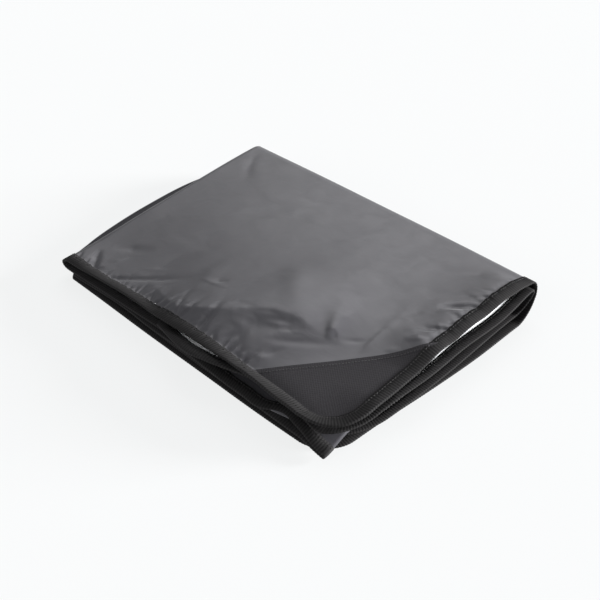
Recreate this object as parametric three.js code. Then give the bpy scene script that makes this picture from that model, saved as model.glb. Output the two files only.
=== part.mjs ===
// Drum set cover, folded flat into a bundle. Millimetres, +Z up from the table.
// +X runs along the longer side, +Y towards the back. The bound hems lie at the front (-Y) and the
// right (+X); the turns of the cloth lie at the left (-X) and the back (+Y).
// The sheet is doubled twice along X, which gives four layers, and that stack is turned under once
// along Y, so eight layers lie on the table. Names of the four layers, from the outside inwards:
// outer, second, third, inner. The lower half holds the same four, mirrored.
import * as THREE from 'three';

const FRONT_Y = -127;
const LEFT_X = -172;
const RIGHT_X = 172;
const BACK_Y = 127;
const PANEL_X = RIGHT_X - LEFT_X;
const PANEL_Y = BACK_Y - FRONT_Y;

const CLOTH_T = 1.0;
const TAPE_T = 0.5;
const TAPE_W = 11;
const PATCH_T = 0.8;
const FIT_GAP = 0.3;
const PATCH_GAP = 0.4;

// Corner of the sheet at each hem end: size of its round along X and along Y.
const CORNER_ROUND = {
  outer: { up: { alongX: 42, alongY: 42 }, down: { alongX: 32, alongY: 32 } },
  second: { up: { alongX: 120, alongY: 62 }, down: { alongX: 66, alongY: 66 } },
};

// Level of each layer above the middle of the bundle, as a share of the bundle's height.
const LEVEL = { outer: 0.5, second: 0.35, third: 0.21, inner: 0.08 };

// Height of the bundle. Columns: left, mid-left, middle, mid-right, right.
const HEIGHT = {
  front: [19, 22, 27, 29, 28],
  middle: [29, 33, 35, 36, 35],
  back: [37, 38, 38, 38, 37],
};

// How far each front hem stands out in front of FRONT_Y. Columns: six even steps over HEM_SPAN.
const HEM_SPAN = { from: -203, to: RIGHT_X };
const FRONT_HEM = {
  up: {
    outer: [-3, -2, 0, 1.5, 4, 6],
    second: [-3, -3, -2.5, 6, 5, 4],
    third: [-6, -5, -2.5, 0, 2, -24],
    inner: [-6, -5, -2, 2, 4, -24],
  },
  down: {
    outer: [-5, -3, 0, 2, 4, 4],
    second: [-9, -9, -4, 0, 1, 0],
    third: [-12, -12, -4, 1, 5, 7],
    inner: [-5, -5, 0, 3, 7, 7],
  },
};

// X of each hem and turn. Columns: even steps from the front to the back of the bundle.
const SIDE_X = {
  outerHem: { up: [178, 174, 170], down: [169, 170, 173, 174.5, 173] },
  secondHem: { up: [186, 185, 183, 179, 166], down: [173, 174, 167] },
  rightTurn: { up: [172, 166, 166], down: [166, 170, 169] },
  outerTurn: { up: [-169, -171, -174], down: [-172, -191, -196, -198, -200, -201, -202] },
  secondTurn: { up: [-44, -128, -152], down: [-48, -136, -160] },
};

// Depth of the left-hand turn beyond the end of its layers, columns as for SIDE_X, and the shape of
// the back turn, which leans outwards at the top.
const OUTER_TURN_DEPTH = { up: [6, 6, 7], down: [2.2, 4.4, 6, 6, 7] };
const BACK_TURN = { y: 115, lean: 9, depth: 16 };

// The bottom layer lifts at its hems, so that the tape clears the table.
const HEM_LIFT = 1.1;
const LIFT_RUN = { from: 12, to: 42 };
const LIFT_SHARE = {
  up: { outer: 0, second: 0.1, third: 0.2, inner: 0.3 },
  down: { outer: 1, second: 0.8, third: 0.6, inner: 0.45 },
};

// At the left front corner the layers between sink, so that the upper turn stands open.
const SINK = { x: -172, y: -127, reach: 120, share: 0.14 };

// The lower right-hand turn hangs to the table at the front corner.
const DROOP = { x: 170, y: -133, reach: 31, depth: 4.8 };

// The top layer stands off along its two hems: a steady lift and a wave on it, which fade inwards.
// Under the patch it lies flat, and so it does at the back, over FLUTTER_END.
const FLUTTER = {
  front: { wave: 94, shift: 0.05, lift: 0, height: 2.2, reach: 34 },
  right: { wave: 44, shift: 0.4, lift: 2.2, height: 1.6, reach: 42 },
};
const FLUTTER_END = 34;
const CALM = { from: 110, to: 150 };

// Soft creases of the top layer: ends, half width, depth below the cloth (a ridge is negative). Past
// its ends a crease fades over CREASE_FADE half widths.
const CREASE_FADE = 1.6;
const CREASES = [
  { name: 'long ridge', x0: -20, y0: -95, x1: 108, y1: 20, half: 13, depth: -1.0 },
  { name: 'dent before the ridge', x0: 12, y0: -82, x1: 88, y1: -22, half: 14, depth: 1.2 },
  { name: 'left trough', x0: -118, y0: -112, x1: -52, y1: -38, half: 16, depth: 1.3 },
  { name: 'right trough', x0: 100, y0: 78, x1: 140, y1: 96, half: 18, depth: 1.2 },
  { name: 'fold by the patch', x0: 128, y0: -40, x1: 104, y1: 26, half: 12, depth: 0.9 },
];

// Patch over the front corner of the top layer: reach along each hem from the square corner, edge
// clear of the tape, bow of the seam, and share of the seam cut off at each of its points.
const PATCH = { alongX: 97, alongY: 118, inset: TAPE_W + 0.9, bow: -1, blunt: 0.004 };

// Grid lines: distances from a hem and from the right-hand turn, and steps along each run of cloth.
const HEM_LINES = [0, TAPE_W, 24, 42];
const TURN_LINES = [34, 20, 10, 0];
const STEPS = { top: 17, hidden: 6, turnBig: 8, turnSmall: 6, upper: 12, lower: 8, back: 9 };
const PATCH_STEPS = { across: 28, inward: 6 };

const lerp = (a, b, t) => a + (b - a) * t;
const clamp01 = (t) => Math.min(1, Math.max(0, t));
const smooth = (t) => clamp01(t) ** 2 * (3 - 2 * clamp01(t));

// Smooth curve through the evenly spaced columns of a table row, with t from 0 to 1.
function alongRow(row, t) {
  const last = row.length - 1;
  const at = clamp01(t) * last;
  const k = Math.min(last - 1, Math.floor(at));
  const f = at - k;
  const p1 = row[k];
  const p2 = row[k + 1];
  const p0 = row[Math.max(0, k - 1)];
  const p3 = row[Math.min(last, k + 2)];
  const bend = 2 * p0 - 5 * p1 + 4 * p2 - p3;
  return p1 + 0.5 * f * (p2 - p0 + f * (bend + f * (3 * (p1 - p2) + p3 - p0)));
}

const acrossX = (x) => (x - LEFT_X) / PANEL_X;
const acrossHem = (x) => (x - HEM_SPAN.from) / (HEM_SPAN.to - HEM_SPAN.from);
const acrossY = (y) => (y - FRONT_Y) / PANEL_Y;

function bundleHeight(x, y) {
  const rows = [HEIGHT.front, HEIGHT.middle, HEIGHT.back];
  return alongRow(rows.map((row) => alongRow(row, acrossX(x))), acrossY(y));
}

// Runs of the sheet along X, in order from one hem to the other.
const RUNS_X = [
  { layer: 'outer', from: 'outerHem', to: 'outerTurn' },
  { turn: 'outerTurn', layer: 'outer', next: 'inner', out: -1 },
  { layer: 'inner', from: 'outerTurn', to: 'rightTurn' },
  { turn: 'rightTurn', layer: 'inner', next: 'third', out: 1 },
  { layer: 'third', from: 'rightTurn', to: 'secondTurn' },
  { turn: 'secondTurn', layer: 'third', next: 'second', out: -1 },
  { layer: 'second', from: 'secondTurn', to: 'secondHem' },
];

function evenly(from, to, steps) {
  return Array.from({ length: steps }, (_, k) => lerp(from, to, (k + 1) / steps));
}

// Grid stations along X: the run and the share of it that has been passed.
function stationsX() {
  const hemEnd = HEM_LINES[HEM_LINES.length - 1];
  const fromHem = [...HEM_LINES, ...evenly(hemEnd, PANEL_X, STEPS.top)].map((d) => d / PANEL_X);
  const toHem = [...evenly(0, PANEL_X - hemEnd, STEPS.hidden)].map((d) => d / PANEL_X);
  const lastLines = HEM_LINES.slice(0, -1).reverse().map((d) => 1 - d / PANEL_X);
  const innerX = SIDE_X.rightTurn.down[0] - SIDE_X.outerTurn.down[0];
  const thirdX = SIDE_X.rightTurn.down[0] - SIDE_X.secondTurn.down[0];
  const [far, ...near] = TURN_LINES;
  const plan = [
    fromHem,
    evenly(0, 1, STEPS.turnBig),
    [...evenly(0, 1 - far / innerX, STEPS.hidden), ...near.map((d) => 1 - d / innerX)],
    evenly(0, 1, STEPS.turnSmall),
    [...TURN_LINES.slice(0, -1).reverse().map((d) => d / thirdX), ...evenly(far / thirdX, 1, STEPS.hidden)],
    evenly(0, 1, STEPS.turnSmall),
    [...toHem, ...lastLines],
  ];
  return plan.flatMap((shares, run) => shares.map((share) => ({ run: RUNS_X[run], share })));
}

// Grid stations along Y: upper half from the hem, the back turn, lower half to its hem.
function stationsY() {
  const hemEnd = HEM_LINES[HEM_LINES.length - 1];
  const upper = [...HEM_LINES, ...evenly(hemEnd, PANEL_Y, STEPS.upper)];
  const lower = evenly(0, PANEL_Y - hemEnd, STEPS.lower);
  const lastLines = HEM_LINES.slice(0, -1).reverse().map((d) => PANEL_Y - d);
  return [
    ...upper.map((d) => ({ half: 'up', across: d / PANEL_Y, angle: 0 })),
    ...evenly(0, Math.PI, STEPS.back).map((angle) => ({ half: 'back', across: 1, angle })),
    ...[...lower, ...lastLines].map((d) => ({ half: 'down', across: 1 - d / PANEL_Y, angle: Math.PI })),
  ];
}

// Moves a point of a square hem corner onto a round one; the rings stay as far from the edge.
function roundCorner(dx, dy, size) {
  const p = 1 - dx / size.alongX;
  const q = 1 - dy / size.alongY;
  if (p <= 0 || q <= 0) {
    return { dx, dy };
  }
  const ring = Math.max(p, q);
  const turn = p >= q ? (Math.PI / 4) * (q / p) : Math.PI / 2 - (Math.PI / 4) * (p / q);
  return {
    dx: size.alongX * (1 - ring * Math.cos(turn)),
    dy: size.alongY * (1 - ring * Math.sin(turn)),
  };
}

// Value of a table of two halves, blended where the cloth turns under at the back.
function ofHalves(table, across, turned) {
  return lerp(alongRow(table.up, across), alongRow(table.down, across), turned);
}

const sideX = (name, across, turned) => ofHalves(SIDE_X[name], across, turned);

// Share of the bundle's height, with the sink at the left front corner.
function sunkShare(share, x, y) {
  const near = smooth(1 - Math.hypot(x - SINK.x, y - SINK.y) / SINK.reach);
  return share - SINK.share * near * 4 * share * (1 - share);
}

function layerValue(table, run, share, pick) {
  const here = pick(table[run.layer]);
  return run.turn ? lerp(here, pick(table[run.next]), smooth(share)) : here;
}

function creaseDepth(x, y) {
  return CREASES.reduce((sum, c) => {
    const long = Math.hypot(c.x1 - c.x0, c.y1 - c.y0);
    const ex = (c.x1 - c.x0) / long;
    const ey = (c.y1 - c.y0) / long;
    const along = (x - c.x0) * ex + (y - c.y0) * ey;
    const off = (y - c.y0) * ex - (x - c.x0) * ey;
    const over = Math.max(0, -along, along - long);
    return sum + c.depth * Math.exp(-((off / c.half) ** 2) - (over / (CREASE_FADE * c.half)) ** 2);
  }, 0);
}

function flutter(dx, dy, x, y) {
  const ripple = (f, at) => 0.5 * (1 + Math.sin(2 * Math.PI * (at / f.wave + f.shift)));
  const wave = (f, at) => f.lift + f.height * ripple(f, at);
  const fade = (f, d) => Math.exp(-((d / f.reach) ** 2));
  const calm = smooth((Math.hypot(dx, dy) - CALM.from) / (CALM.to - CALM.from));
  const end = smooth((BACK_Y - y) / FLUTTER_END);
  const front = wave(FLUTTER.front, x) * fade(FLUTTER.front, dy);
  return calm * end * (front + wave(FLUTTER.right, y) * fade(FLUTTER.right, dx));
}

// Point of the middle of the cloth at a station along X and a station along Y.
function clothPoint(sx, sy) {
  const { run } = sx;
  const turned = smooth(sy.angle / Math.PI);
  const half = sy.angle > Math.PI / 2 ? 'down' : 'up';
  let { share } = sx;
  let { across } = sy;
  const hemShare = run.from === 'outerHem' ? share : 1 - share;
  const atHem = run.from === 'outerHem' || run.to === 'secondHem';
  let hemX = atHem ? hemShare * PANEL_X : PANEL_X;
  if (atHem) {
    const moved = roundCorner(hemX, across * PANEL_Y, CORNER_ROUND[run.layer][half]);
    hemX = moved.dx;
    share = run.from === 'outerHem' ? moved.dx / PANEL_X : 1 - moved.dx / PANEL_X;
    across = moved.dy / PANEL_Y;
  }
  let level = LEVEL[run.layer];
  let x;
  if (run.turn) {
    const other = LEVEL[run.next];
    const gap = Math.abs(level - other) / 2;
    const mid = (level + other) / 2;
    const turnX = sideX(run.turn, across, turned);
    const round = gap * bundleHeight(turnX, lerp(FRONT_Y, BACK_Y, across));
    const depth = run.turn === 'outerTurn' ? ofHalves(OUTER_TURN_DEPTH, across, turned) : round;
    level = mid + ((level - other) / 2) * Math.cos(Math.PI * share);
    x = turnX + run.out * depth * Math.sin(Math.PI * share);
  } else {
    x = lerp(sideX(run.from, across, turned), sideX(run.to, across, turned), share);
  }
  const outFront = (table) => layerValue(table, run, sx.share, (row) => alongRow(row, acrossHem(x)));
  const hemY = FRONT_Y - outFront(FRONT_HEM[half]);
  const nest = level / LEVEL.outer;
  const turnY = BACK_TURN.y + nest * BACK_TURN.lean * (1 - 2 * turned);
  const y = lerp(hemY, turnY, across) + nest * BACK_TURN.depth * Math.sin(sy.angle);
  const stackShare = sunkShare(0.5 + level * Math.cos(sy.angle), x, y);
  const stack = stackShare * (bundleHeight(x, y) - CLOTH_T);
  const hemY0 = across * PANEL_Y;
  const nearHem = Math.min(hemX, hemY0);
  const liftShare = layerValue(LIFT_SHARE[half], run, sx.share, (value) => value);
  const rise = 1 - smooth((nearHem - LIFT_RUN.from) / (LIFT_RUN.to - LIFT_RUN.from));
  let z = CLOTH_T / 2 + stack + HEM_LIFT * liftShare * rise;
  if (run.from === 'outerHem' && half === 'up') {
    z += flutter(hemX, hemY0, x, y) - creaseDepth(x, y);
  }
  if (half === 'down' && (run.layer === 'inner' || run.layer === 'third') && run.turn !== 'secondTurn') {
    const near = 1 - Math.hypot(x - DROOP.x, y - DROOP.y) / DROOP.reach;
    z -= DROOP.depth * smooth(near);
  }
  return new THREE.Vector3(x, y, z);
}

const stationX = stationsX();
const stationY = stationsY();
const lastX = stationX.length - 1;
const lastY = stationY.length - 1;
const middle = stationX.map((sx) => stationY.map((sy) => clothPoint(sx, sy)));
const normal = middle.map((column, i) => column.map((_, j) => {
  const alongX = middle[Math.min(lastX, i + 1)][j].clone().sub(middle[Math.max(0, i - 1)][j]);
  const alongY = middle[i][Math.min(lastY, j + 1)].clone().sub(middle[i][Math.max(0, j - 1)]);
  return alongY.cross(alongX).normalize();
}));

const offset = (i, j, by) => middle[i][j].clone().addScaledVector(normal[i][j], by);

// Collects triangles over shared points; faces of no area are left out.
class Shell {
  constructor() {
    this.points = [];
    this.faces = [];
  }

  add(point) {
    return this.points.push(point.x, point.y, point.z) / 3 - 1;
  }

  quad(a, b, c, d) {
    [[a, b, c], [a, c, d]].forEach((face) => {
      if (new Set(face).size === 3) {
        this.faces.push(...face);
      }
    });
  }

  mesh(name, material) {
    const geometry = new THREE.BufferGeometry();
    geometry.setAttribute('position', new THREE.Float32BufferAttribute(this.points, 3));
    geometry.setIndex(this.faces);
    geometry.computeVertexNormals();
    const mesh = new THREE.Mesh(geometry, material);
    mesh.name = name;
    return mesh;
  }
}

// Closes two grids of points, a face grid and a back grid, into one thin body.
function thinBody(face, back) {
  const shell = new Shell();
  const top = face.map((column) => column.map((point) => shell.add(point)));
  const under = back.map((column) => column.map((point) => shell.add(point)));
  const m = face.length - 1;
  const n = face[0].length - 1;
  for (let i = 0; i < m; i += 1) {
    for (let j = 0; j < n; j += 1) {
      shell.quad(top[i][j], top[i][j + 1], top[i + 1][j + 1], top[i + 1][j]);
      shell.quad(under[i][j], under[i + 1][j], under[i + 1][j + 1], under[i][j + 1]);
    }
    shell.quad(top[i][0], top[i + 1][0], under[i + 1][0], under[i][0]);
    shell.quad(top[i + 1][n], top[i][n], under[i][n], under[i + 1][n]);
  }
  for (let j = 0; j < n; j += 1) {
    shell.quad(top[0][j + 1], top[0][j], under[0][j], under[0][j + 1]);
    shell.quad(top[m][j], top[m][j + 1], under[m][j + 1], under[m][j]);
  }
  return shell;
}

function coverSheet() {
  const grid = (by) => middle.map((column, i) => column.map((_, j) => offset(i, j, by)));
  return thinBody(grid(CLOTH_T / 2), grid(-CLOTH_T / 2));
}

// Grid points round the whole hem, each with the grid point at the inner edge of the tape and
// whether the hem runs along X from there.
function hemStations() {
  const inside = (k, last) => Math.min(last - 1, Math.max(1, k));
  const ring = [];
  for (let i = 0; i < lastX; i += 1) {
    ring.push([i, 0, true]);
  }
  for (let j = 0; j < lastY; j += 1) {
    ring.push([lastX, j, false]);
  }
  for (let i = lastX; i > 0; i -= 1) {
    ring.push([i, lastY, true]);
  }
  for (let j = lastY; j > 0; j -= 1) {
    ring.push([0, j, false]);
  }
  return ring.map(([i, j, runsX]) => ({ i, j, runsX, inI: inside(i, lastX), inJ: inside(j, lastY) }));
}

// Binding tape folded over the hem: a channel swept once round the sheet.
function hemBinding() {
  const shell = new Shell();
  const near = CLOTH_T / 2 + FIT_GAP;
  const far = near + TAPE_T;
  const innerPoints = new Map();
  const addInner = (i, j, by) => {
    const key = `${i},${j},${by}`;
    if (!innerPoints.has(key)) {
      innerPoints.set(key, shell.add(offset(i, j, by)));
    }
    return innerPoints.get(key);
  };
  const stations = hemStations();
  const rings = stations.map(({ i, j, inI, inJ }) => {
    const up = normal[i][j];
    const out = middle[i][j].clone().sub(middle[inI][inJ]);
    out.addScaledVector(up, -out.dot(up)).normalize();
    const edge = (along, by) => shell.add(offset(i, j, by).addScaledVector(out, along));
    return [
      addInner(inI, inJ, far),
      edge(FIT_GAP + TAPE_T, far),
      edge(FIT_GAP + TAPE_T, -far),
      addInner(inI, inJ, -far),
      addInner(inI, inJ, -near),
      edge(FIT_GAP, -near),
      edge(FIT_GAP, near),
      addInner(inI, inJ, near),
    ];
  });
  // Facets over the cloth split along the same diagonals as the cloth's own.
  rings.forEach((ring, k) => {
    const after = rings[(k + 1) % rings.length];
    ring.forEach((point, c) => {
      const d = (c + 1) % ring.length;
      const corners = [point, after[c], after[d], ring[d]];
      const overCloth = c === 0 || c === ring.length / 2;
      const splitFirst = overCloth !== stations[k].runsX;
      shell.quad(...(splitFirst ? corners : [...corners.slice(1), point]));
    });
  });
  return shell;
}

// Point over the top layer at distances from its two hems.
function overTop(dx, dy, by) {
  const at = (x, y) => clothPoint(
    { run: RUNS_X[0], share: x / PANEL_X },
    { half: 'up', across: y / PANEL_Y, angle: 0 },
  );
  const reach = 1;
  const point = at(dx, dy);
  const alongX = at(dx + reach, dy).sub(point);
  const alongY = at(dx, dy + reach).sub(point);
  return point.addScaledVector(alongY.cross(alongX).normalize(), by);
}

// Patch over the front corner: from its straight seam out to the inner edge of the tape.
function cornerPatch() {
  const edge = PATCH.inset;
  const legX = PATCH.alongX - edge;
  const legY = PATCH.alongY - edge;
  const outline = (t) => (t < 0.5
    ? { dx: lerp(PATCH.alongX, edge, 2 * t), dy: edge }
    : { dx: edge, dy: lerp(edge, PATCH.alongY, 2 * t - 1) });
  const seam = (t) => {
    const bow = PATCH.bow * Math.sin(Math.PI * t);
    return { dx: edge + legX * (1 - t) + bow, dy: edge + legY * t + bow };
  };
  const grid = (by) => Array.from({ length: PATCH_STEPS.across + 1 }, (_, k) => {
    const t = lerp(PATCH.blunt, 1 - PATCH.blunt, k / PATCH_STEPS.across);
    const a = seam(t);
    const b = outline(t);
    return Array.from({ length: PATCH_STEPS.inward + 1 }, (__, s) => {
      const f = s / PATCH_STEPS.inward;
      return overTop(lerp(a.dx, b.dx, f), lerp(a.dy, b.dy, f), by);
    });
  });
  const low = CLOTH_T / 2 + PATCH_GAP;
  return thinBody(grid(low + PATCH_T), grid(low));
}

const coatedCloth = new THREE.MeshStandardMaterial({ color: 0x626166, roughness: 0.5, metalness: 0 });
const ribbedTape = new THREE.MeshStandardMaterial({ color: 0x3a383a, roughness: 0.85, metalness: 0 });
const heavyWeave = new THREE.MeshStandardMaterial({ color: 0x39373b, roughness: 0.9, metalness: 0 });

const cover = new THREE.Group();
cover.name = 'folded_cover';
cover.add(coverSheet().mesh('cover_sheet', coatedCloth));
cover.add(hemBinding().mesh('hem_binding', ribbedTape));
cover.add(cornerPatch().mesh('corner_patch', heavyWeave));

// The origin is the middle of the underside of the bundle's box.
const box = new THREE.Box3().setFromObject(cover);
const centre = box.getCenter(new THREE.Vector3());
cover.children.forEach((mesh) => mesh.geometry.translate(-centre.x, -centre.y, -box.min.z));

export default cover;
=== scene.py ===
"""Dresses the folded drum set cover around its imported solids.

The cover lies folded flat: dark coated cloth, silver inside, ribbed tape bound round its hems, and a
heavier woven patch over its front corner. The fold's tables are in millimetres on the fold's own
axes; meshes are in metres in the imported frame, whose origin is the middle of the underside.
"""

import logging
import math
from dataclasses import dataclass, field
from enum import Enum
from typing import Any, Callable, Optional

import bpy
import numpy as np
from mathutils import Matrix, Vector


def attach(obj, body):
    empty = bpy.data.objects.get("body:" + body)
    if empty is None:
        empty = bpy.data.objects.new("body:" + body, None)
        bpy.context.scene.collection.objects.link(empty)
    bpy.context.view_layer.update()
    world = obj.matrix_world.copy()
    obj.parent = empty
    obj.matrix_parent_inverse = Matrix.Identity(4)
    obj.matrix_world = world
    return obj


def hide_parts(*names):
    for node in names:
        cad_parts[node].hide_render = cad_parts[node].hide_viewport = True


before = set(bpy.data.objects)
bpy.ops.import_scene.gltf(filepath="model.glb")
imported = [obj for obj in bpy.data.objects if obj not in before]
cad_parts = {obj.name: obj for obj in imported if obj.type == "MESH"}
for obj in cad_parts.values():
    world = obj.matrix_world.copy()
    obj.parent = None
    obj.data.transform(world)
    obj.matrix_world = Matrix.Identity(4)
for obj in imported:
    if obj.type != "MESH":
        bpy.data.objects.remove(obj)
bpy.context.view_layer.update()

LOG = logging.getLogger("folded_cover")
MM = 0.001
BODY = "root"
Row = tuple[float, ...]
Face = tuple[int, ...]
Array = np.ndarray
Material = bpy.types.Material
Piece = bpy.types.Object


def lerp(a: Array, b: Array, t: Array) -> Array:
    """Returns the value a share t of the way from a to b."""
    return a + (b - a) * t


def smooth(t: Array) -> Array:
    """Returns an S-curve from 0 to 1 over t from 0 to 1."""
    t = np.clip(t, 0.0, 1.0)
    return t * t * (3.0 - 2.0 * t)


def along_row(row: Array, t: Array) -> Array:
    """Reads a smooth curve through evenly spaced columns.

    Args:
        row: One value per column, or one array per column.
        t: Place along the row, from 0 to 1.

    Returns:
        The value of the curve at each t.
    """
    row = np.asarray(row, dtype=float)
    last = row.shape[0] - 1
    at = np.clip(t, 0.0, 1.0) * last
    k = np.minimum(last - 1, np.floor(at).astype(int))
    f = at - k

    def column(i: Array) -> Array:
        """Returns a column's values, those of the end columns beyond the ends."""
        i = np.clip(i, 0, last)
        return row[i] if row.ndim == 1 else np.take_along_axis(row, i[None], axis=0)[0]

    p0, p1, p2, p3 = column(k - 1), column(k), column(k + 1), column(k + 2)
    bend = 2 * p0 - 5 * p1 + 4 * p2 - p3
    return p1 + 0.5 * f * (p2 - p0 + f * (bend + f * (3 * (p1 - p2) + p3 - p0)))


def ease(t: Array, ends: Row) -> Array:
    """Returns an S-curve from 0 at the first end to 1 at the second."""
    return smooth((t - ends[0]) / (ends[1] - ends[0]))


def spot(x: Array, y: Array, at: Row, reach: float) -> Array:
    """Returns 1 at a place, falling to 0 at the distance reach from it."""
    return smooth(1 - np.hypot(x - at[0], y - at[1]) / reach)


def curl(inward: Array, run: float, power: float = 1.2) -> Array:
    """Returns 1 at a hem, falling to 0 at the distance run inwards from it."""
    return np.clip(1.0 - inward / run, 0.0, 1.0) ** power


class Layer(Enum):
    """The four layers of each half of the bundle, from the outside inwards."""

    OUTER = "outer"
    SECOND = "second"
    THIRD = "third"
    INNER = "inner"


def by_layer(*values: Any) -> Any:
    """Declares a dataclass's table with one value for each layer, from the outside inwards."""
    return field(default_factory=lambda: dict(zip(Layer, values)))


@dataclass(frozen=True)
class Halves:
    """A table row for the upper half of the bundle and one for the lower half."""

    up: Row
    down: Row

    def at(self, t: Array, turned: Array) -> Array:
        """Returns the row's value at t, blended where the cloth turns under at the back."""
        return lerp(along_row(self.up, t), along_row(self.down, t), turned)


@dataclass(frozen=True)
class Run:
    """One run of the sheet along X: a panel between two edges, or a turn.

    Attributes:
        layer: Layer that the run starts on.
        start: Edge where a panel starts, or the turn's own edge.
        end: Edge where a panel ends; None on a turn.
        onto: Layer that a turn leads to; None on a panel.
        out: Side that a turn bulges to, along X.
        flat: Nominal flat length.
    """

    layer: Layer
    start: str
    end: Optional[str]
    onto: Optional[Layer]
    out: float
    flat: float


@dataclass(frozen=True)
class Crease:
    """A soft trough (or, with negative depths, a ridge) pressed into the top layer.

    Attributes:
        knots: Points of its line as (x, y, half width, depth).
        lean: Makes its left side wider and its right side narrower, from -1 to 1.
    """

    knots: tuple[tuple[float, float, float, float], ...]
    lean: float = 0.0

    def depth(self, x: Array, y: Array) -> Array:
        """Returns how far the crease lowers the cloth at each (x, y)."""
        best = np.full(x.shape, np.inf)
        value = np.zeros(x.shape)
        for (x0, y0, w0, d0), (x1, y1, w1, d1) in zip(self.knots, self.knots[1:]):
            ex, ey = x1 - x0, y1 - y0
            t = np.clip(((x - x0) * ex + (y - y0) * ey) / (ex * ex + ey * ey), 0.0, 1.0)
            off_x, off_y = x - x0 - ex * t, y - y0 - ey * t
            side = np.sign(ex * off_y - ey * off_x)
            half = lerp(w0, w1, t) * (1.0 + self.lean * side)
            reach = np.hypot(off_x, off_y) / half
            nearer = reach < best
            best = np.where(nearer, reach, best)
            value = np.where(nearer, lerp(d0, d1, t) * np.exp(-(reach**2)), value)
        return value


@dataclass(frozen=True)
class Shoulder:
    """A swell of the top layer along the front hem: gentle behind, steep towards the hem.

    Attributes:
        from_x, to_x: Ends of the swell, between which the columns of its rows are evenly spaced.
        crest_y: Place of the crest.
        height: Height of the crest.
        front, behind: How far the swell reaches to either side of the crest, along Y.
        soft: Radius of the crest.
        hollow: How far the steep side is hollowed below a straight slope.
    """

    from_x: float
    to_x: float
    crest_y: Row
    height: Row
    front: Row
    behind: Row
    soft: float
    hollow: float = 0.08

    def rise(self, x: Array, y: Array) -> Array:
        """Returns how far the swell lifts the cloth at each (x, y)."""
        t = (x - self.from_x) / (self.to_x - self.from_x)
        lit_crest, height, front, behind = (
            along_row(row, t) for row in (self.crest_y, self.height, self.front, self.behind)
        )
        off = y - lit_crest
        fall = np.clip((np.hypot(off, self.soft) - self.soft) / front, 0.0, 1.0)
        steep = (1.0 - fall) * (1.0 - self.hollow * fall)
        gentle = np.exp(-((off / behind) ** 2))
        return np.maximum(0.0, height) * np.where(off < 0, steep, gentle)


@dataclass(frozen=True)
class Crumple:
    """Short creases scattered over one part of the top layer.

    Attributes:
        low, high: Corners of the part, as (x, y).
        count: Number of creases.
        heading, spread: Mean direction and the greatest turn from it, in degrees.
        length, half, depth: Least and greatest of each size; every second one is a ridge.
        seed: Seed of the draws.
        bend: Greatest bow of a crease's middle, as a share of its length.
        end_half: Half width at the ends, as a share of that in the middle.
        lean: Greatest lean of a crease.
    """

    low: Row
    high: Row
    count: int
    heading: float
    spread: float
    length: Row
    half: Row
    depth: Row
    seed: int
    bend: float = 0.12
    end_half: float = 0.6
    lean: float = 0.4

    def creases(self) -> tuple[Crease, ...]:
        """Returns the creases, each bent a little and fading out at both ends."""
        draw = np.random.default_rng(self.seed)
        found = []
        for k in range(self.count):
            x, y = draw.uniform(self.low, self.high)
            turn = math.radians(self.heading + draw.uniform(-self.spread, self.spread))
            length, half = draw.uniform(*self.length), draw.uniform(*self.half)
            depth = draw.uniform(*self.depth) * (1 if k % 2 else -1)
            bow = draw.uniform(-self.bend, self.bend) * length
            ex, ey = math.cos(turn) * length / 2, math.sin(turn) * length / 2
            middle = (x - math.sin(turn) * bow, y + math.cos(turn) * bow, half, depth)
            ends = [(x + way * ex, y + way * ey, self.end_half * half, 0.0) for way in (-1, 1)]
            lean = draw.uniform(-self.lean, self.lean)
            found.append(Crease((ends[0], middle, ends[1]), lean=lean))
        return tuple(found)


@dataclass(frozen=True)
class Gathers:
    """Irregular short puckers that the sewing draws into the cloth along one hem.

    Attributes:
        begin, end: Where along the hem they run.
        spacing: Least and greatest step between two puckers.
        width, length, depth: Least and greatest of each size.
        skew: Greatest lean of a pucker, as a share of its length.
        seed: Seed of the draws.
        reach: Distance beyond the tape at which a pucker is left out, in greatest lengths.
        rise_from, rise_over: How far outside the tape's inner edge the puckers begin, and over what
            distance they come in, as shares of the tape's width.
        flare: How much wider a pucker is one length inwards, as a share of its width.
    """

    begin: float
    end: float
    spacing: Row
    width: Row
    length: Row
    depth: Row
    skew: float
    seed: int
    reach: float = 2.2
    rise_from: float = 0.5
    rise_over: float = 0.48
    flare: float = 0.35

    def depth_at(self, along: Array, inward: Array, tape: float) -> Array:
        """Returns how far the puckers lower the cloth.

        Args:
            along: Place along the hem.
            inward: Distance from the hem.
            tape: Width of the tape, in whose inner half the puckers begin.

        Returns:
            The depth at each place.
        """
        draw = np.random.default_rng(self.seed)
        total = np.zeros(along.shape)
        near = (inward < tape + self.reach * self.length[1]) & (inward >= 0.0)
        s, d = along[near], inward[near] - tape
        inner = np.maximum(0.0, d)
        rise = smooth((d + self.rise_from * tape) / (self.rise_over * tape))
        part = np.zeros(s.shape)
        place = self.begin
        sizes = (self.width, self.length, self.depth)
        while place < self.end:
            width, length, depth = (draw.uniform(*size) for size in sizes)
            lean = draw.uniform(-self.skew, self.skew)
            across = (s - place - lean * d) / (width * (1.0 + self.flare * inner / length))
            part += depth * rise * np.exp(-(across**2) - (inner / length) ** 2)
            place += draw.uniform(*self.spacing)
        total[near] = part
        return total


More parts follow.
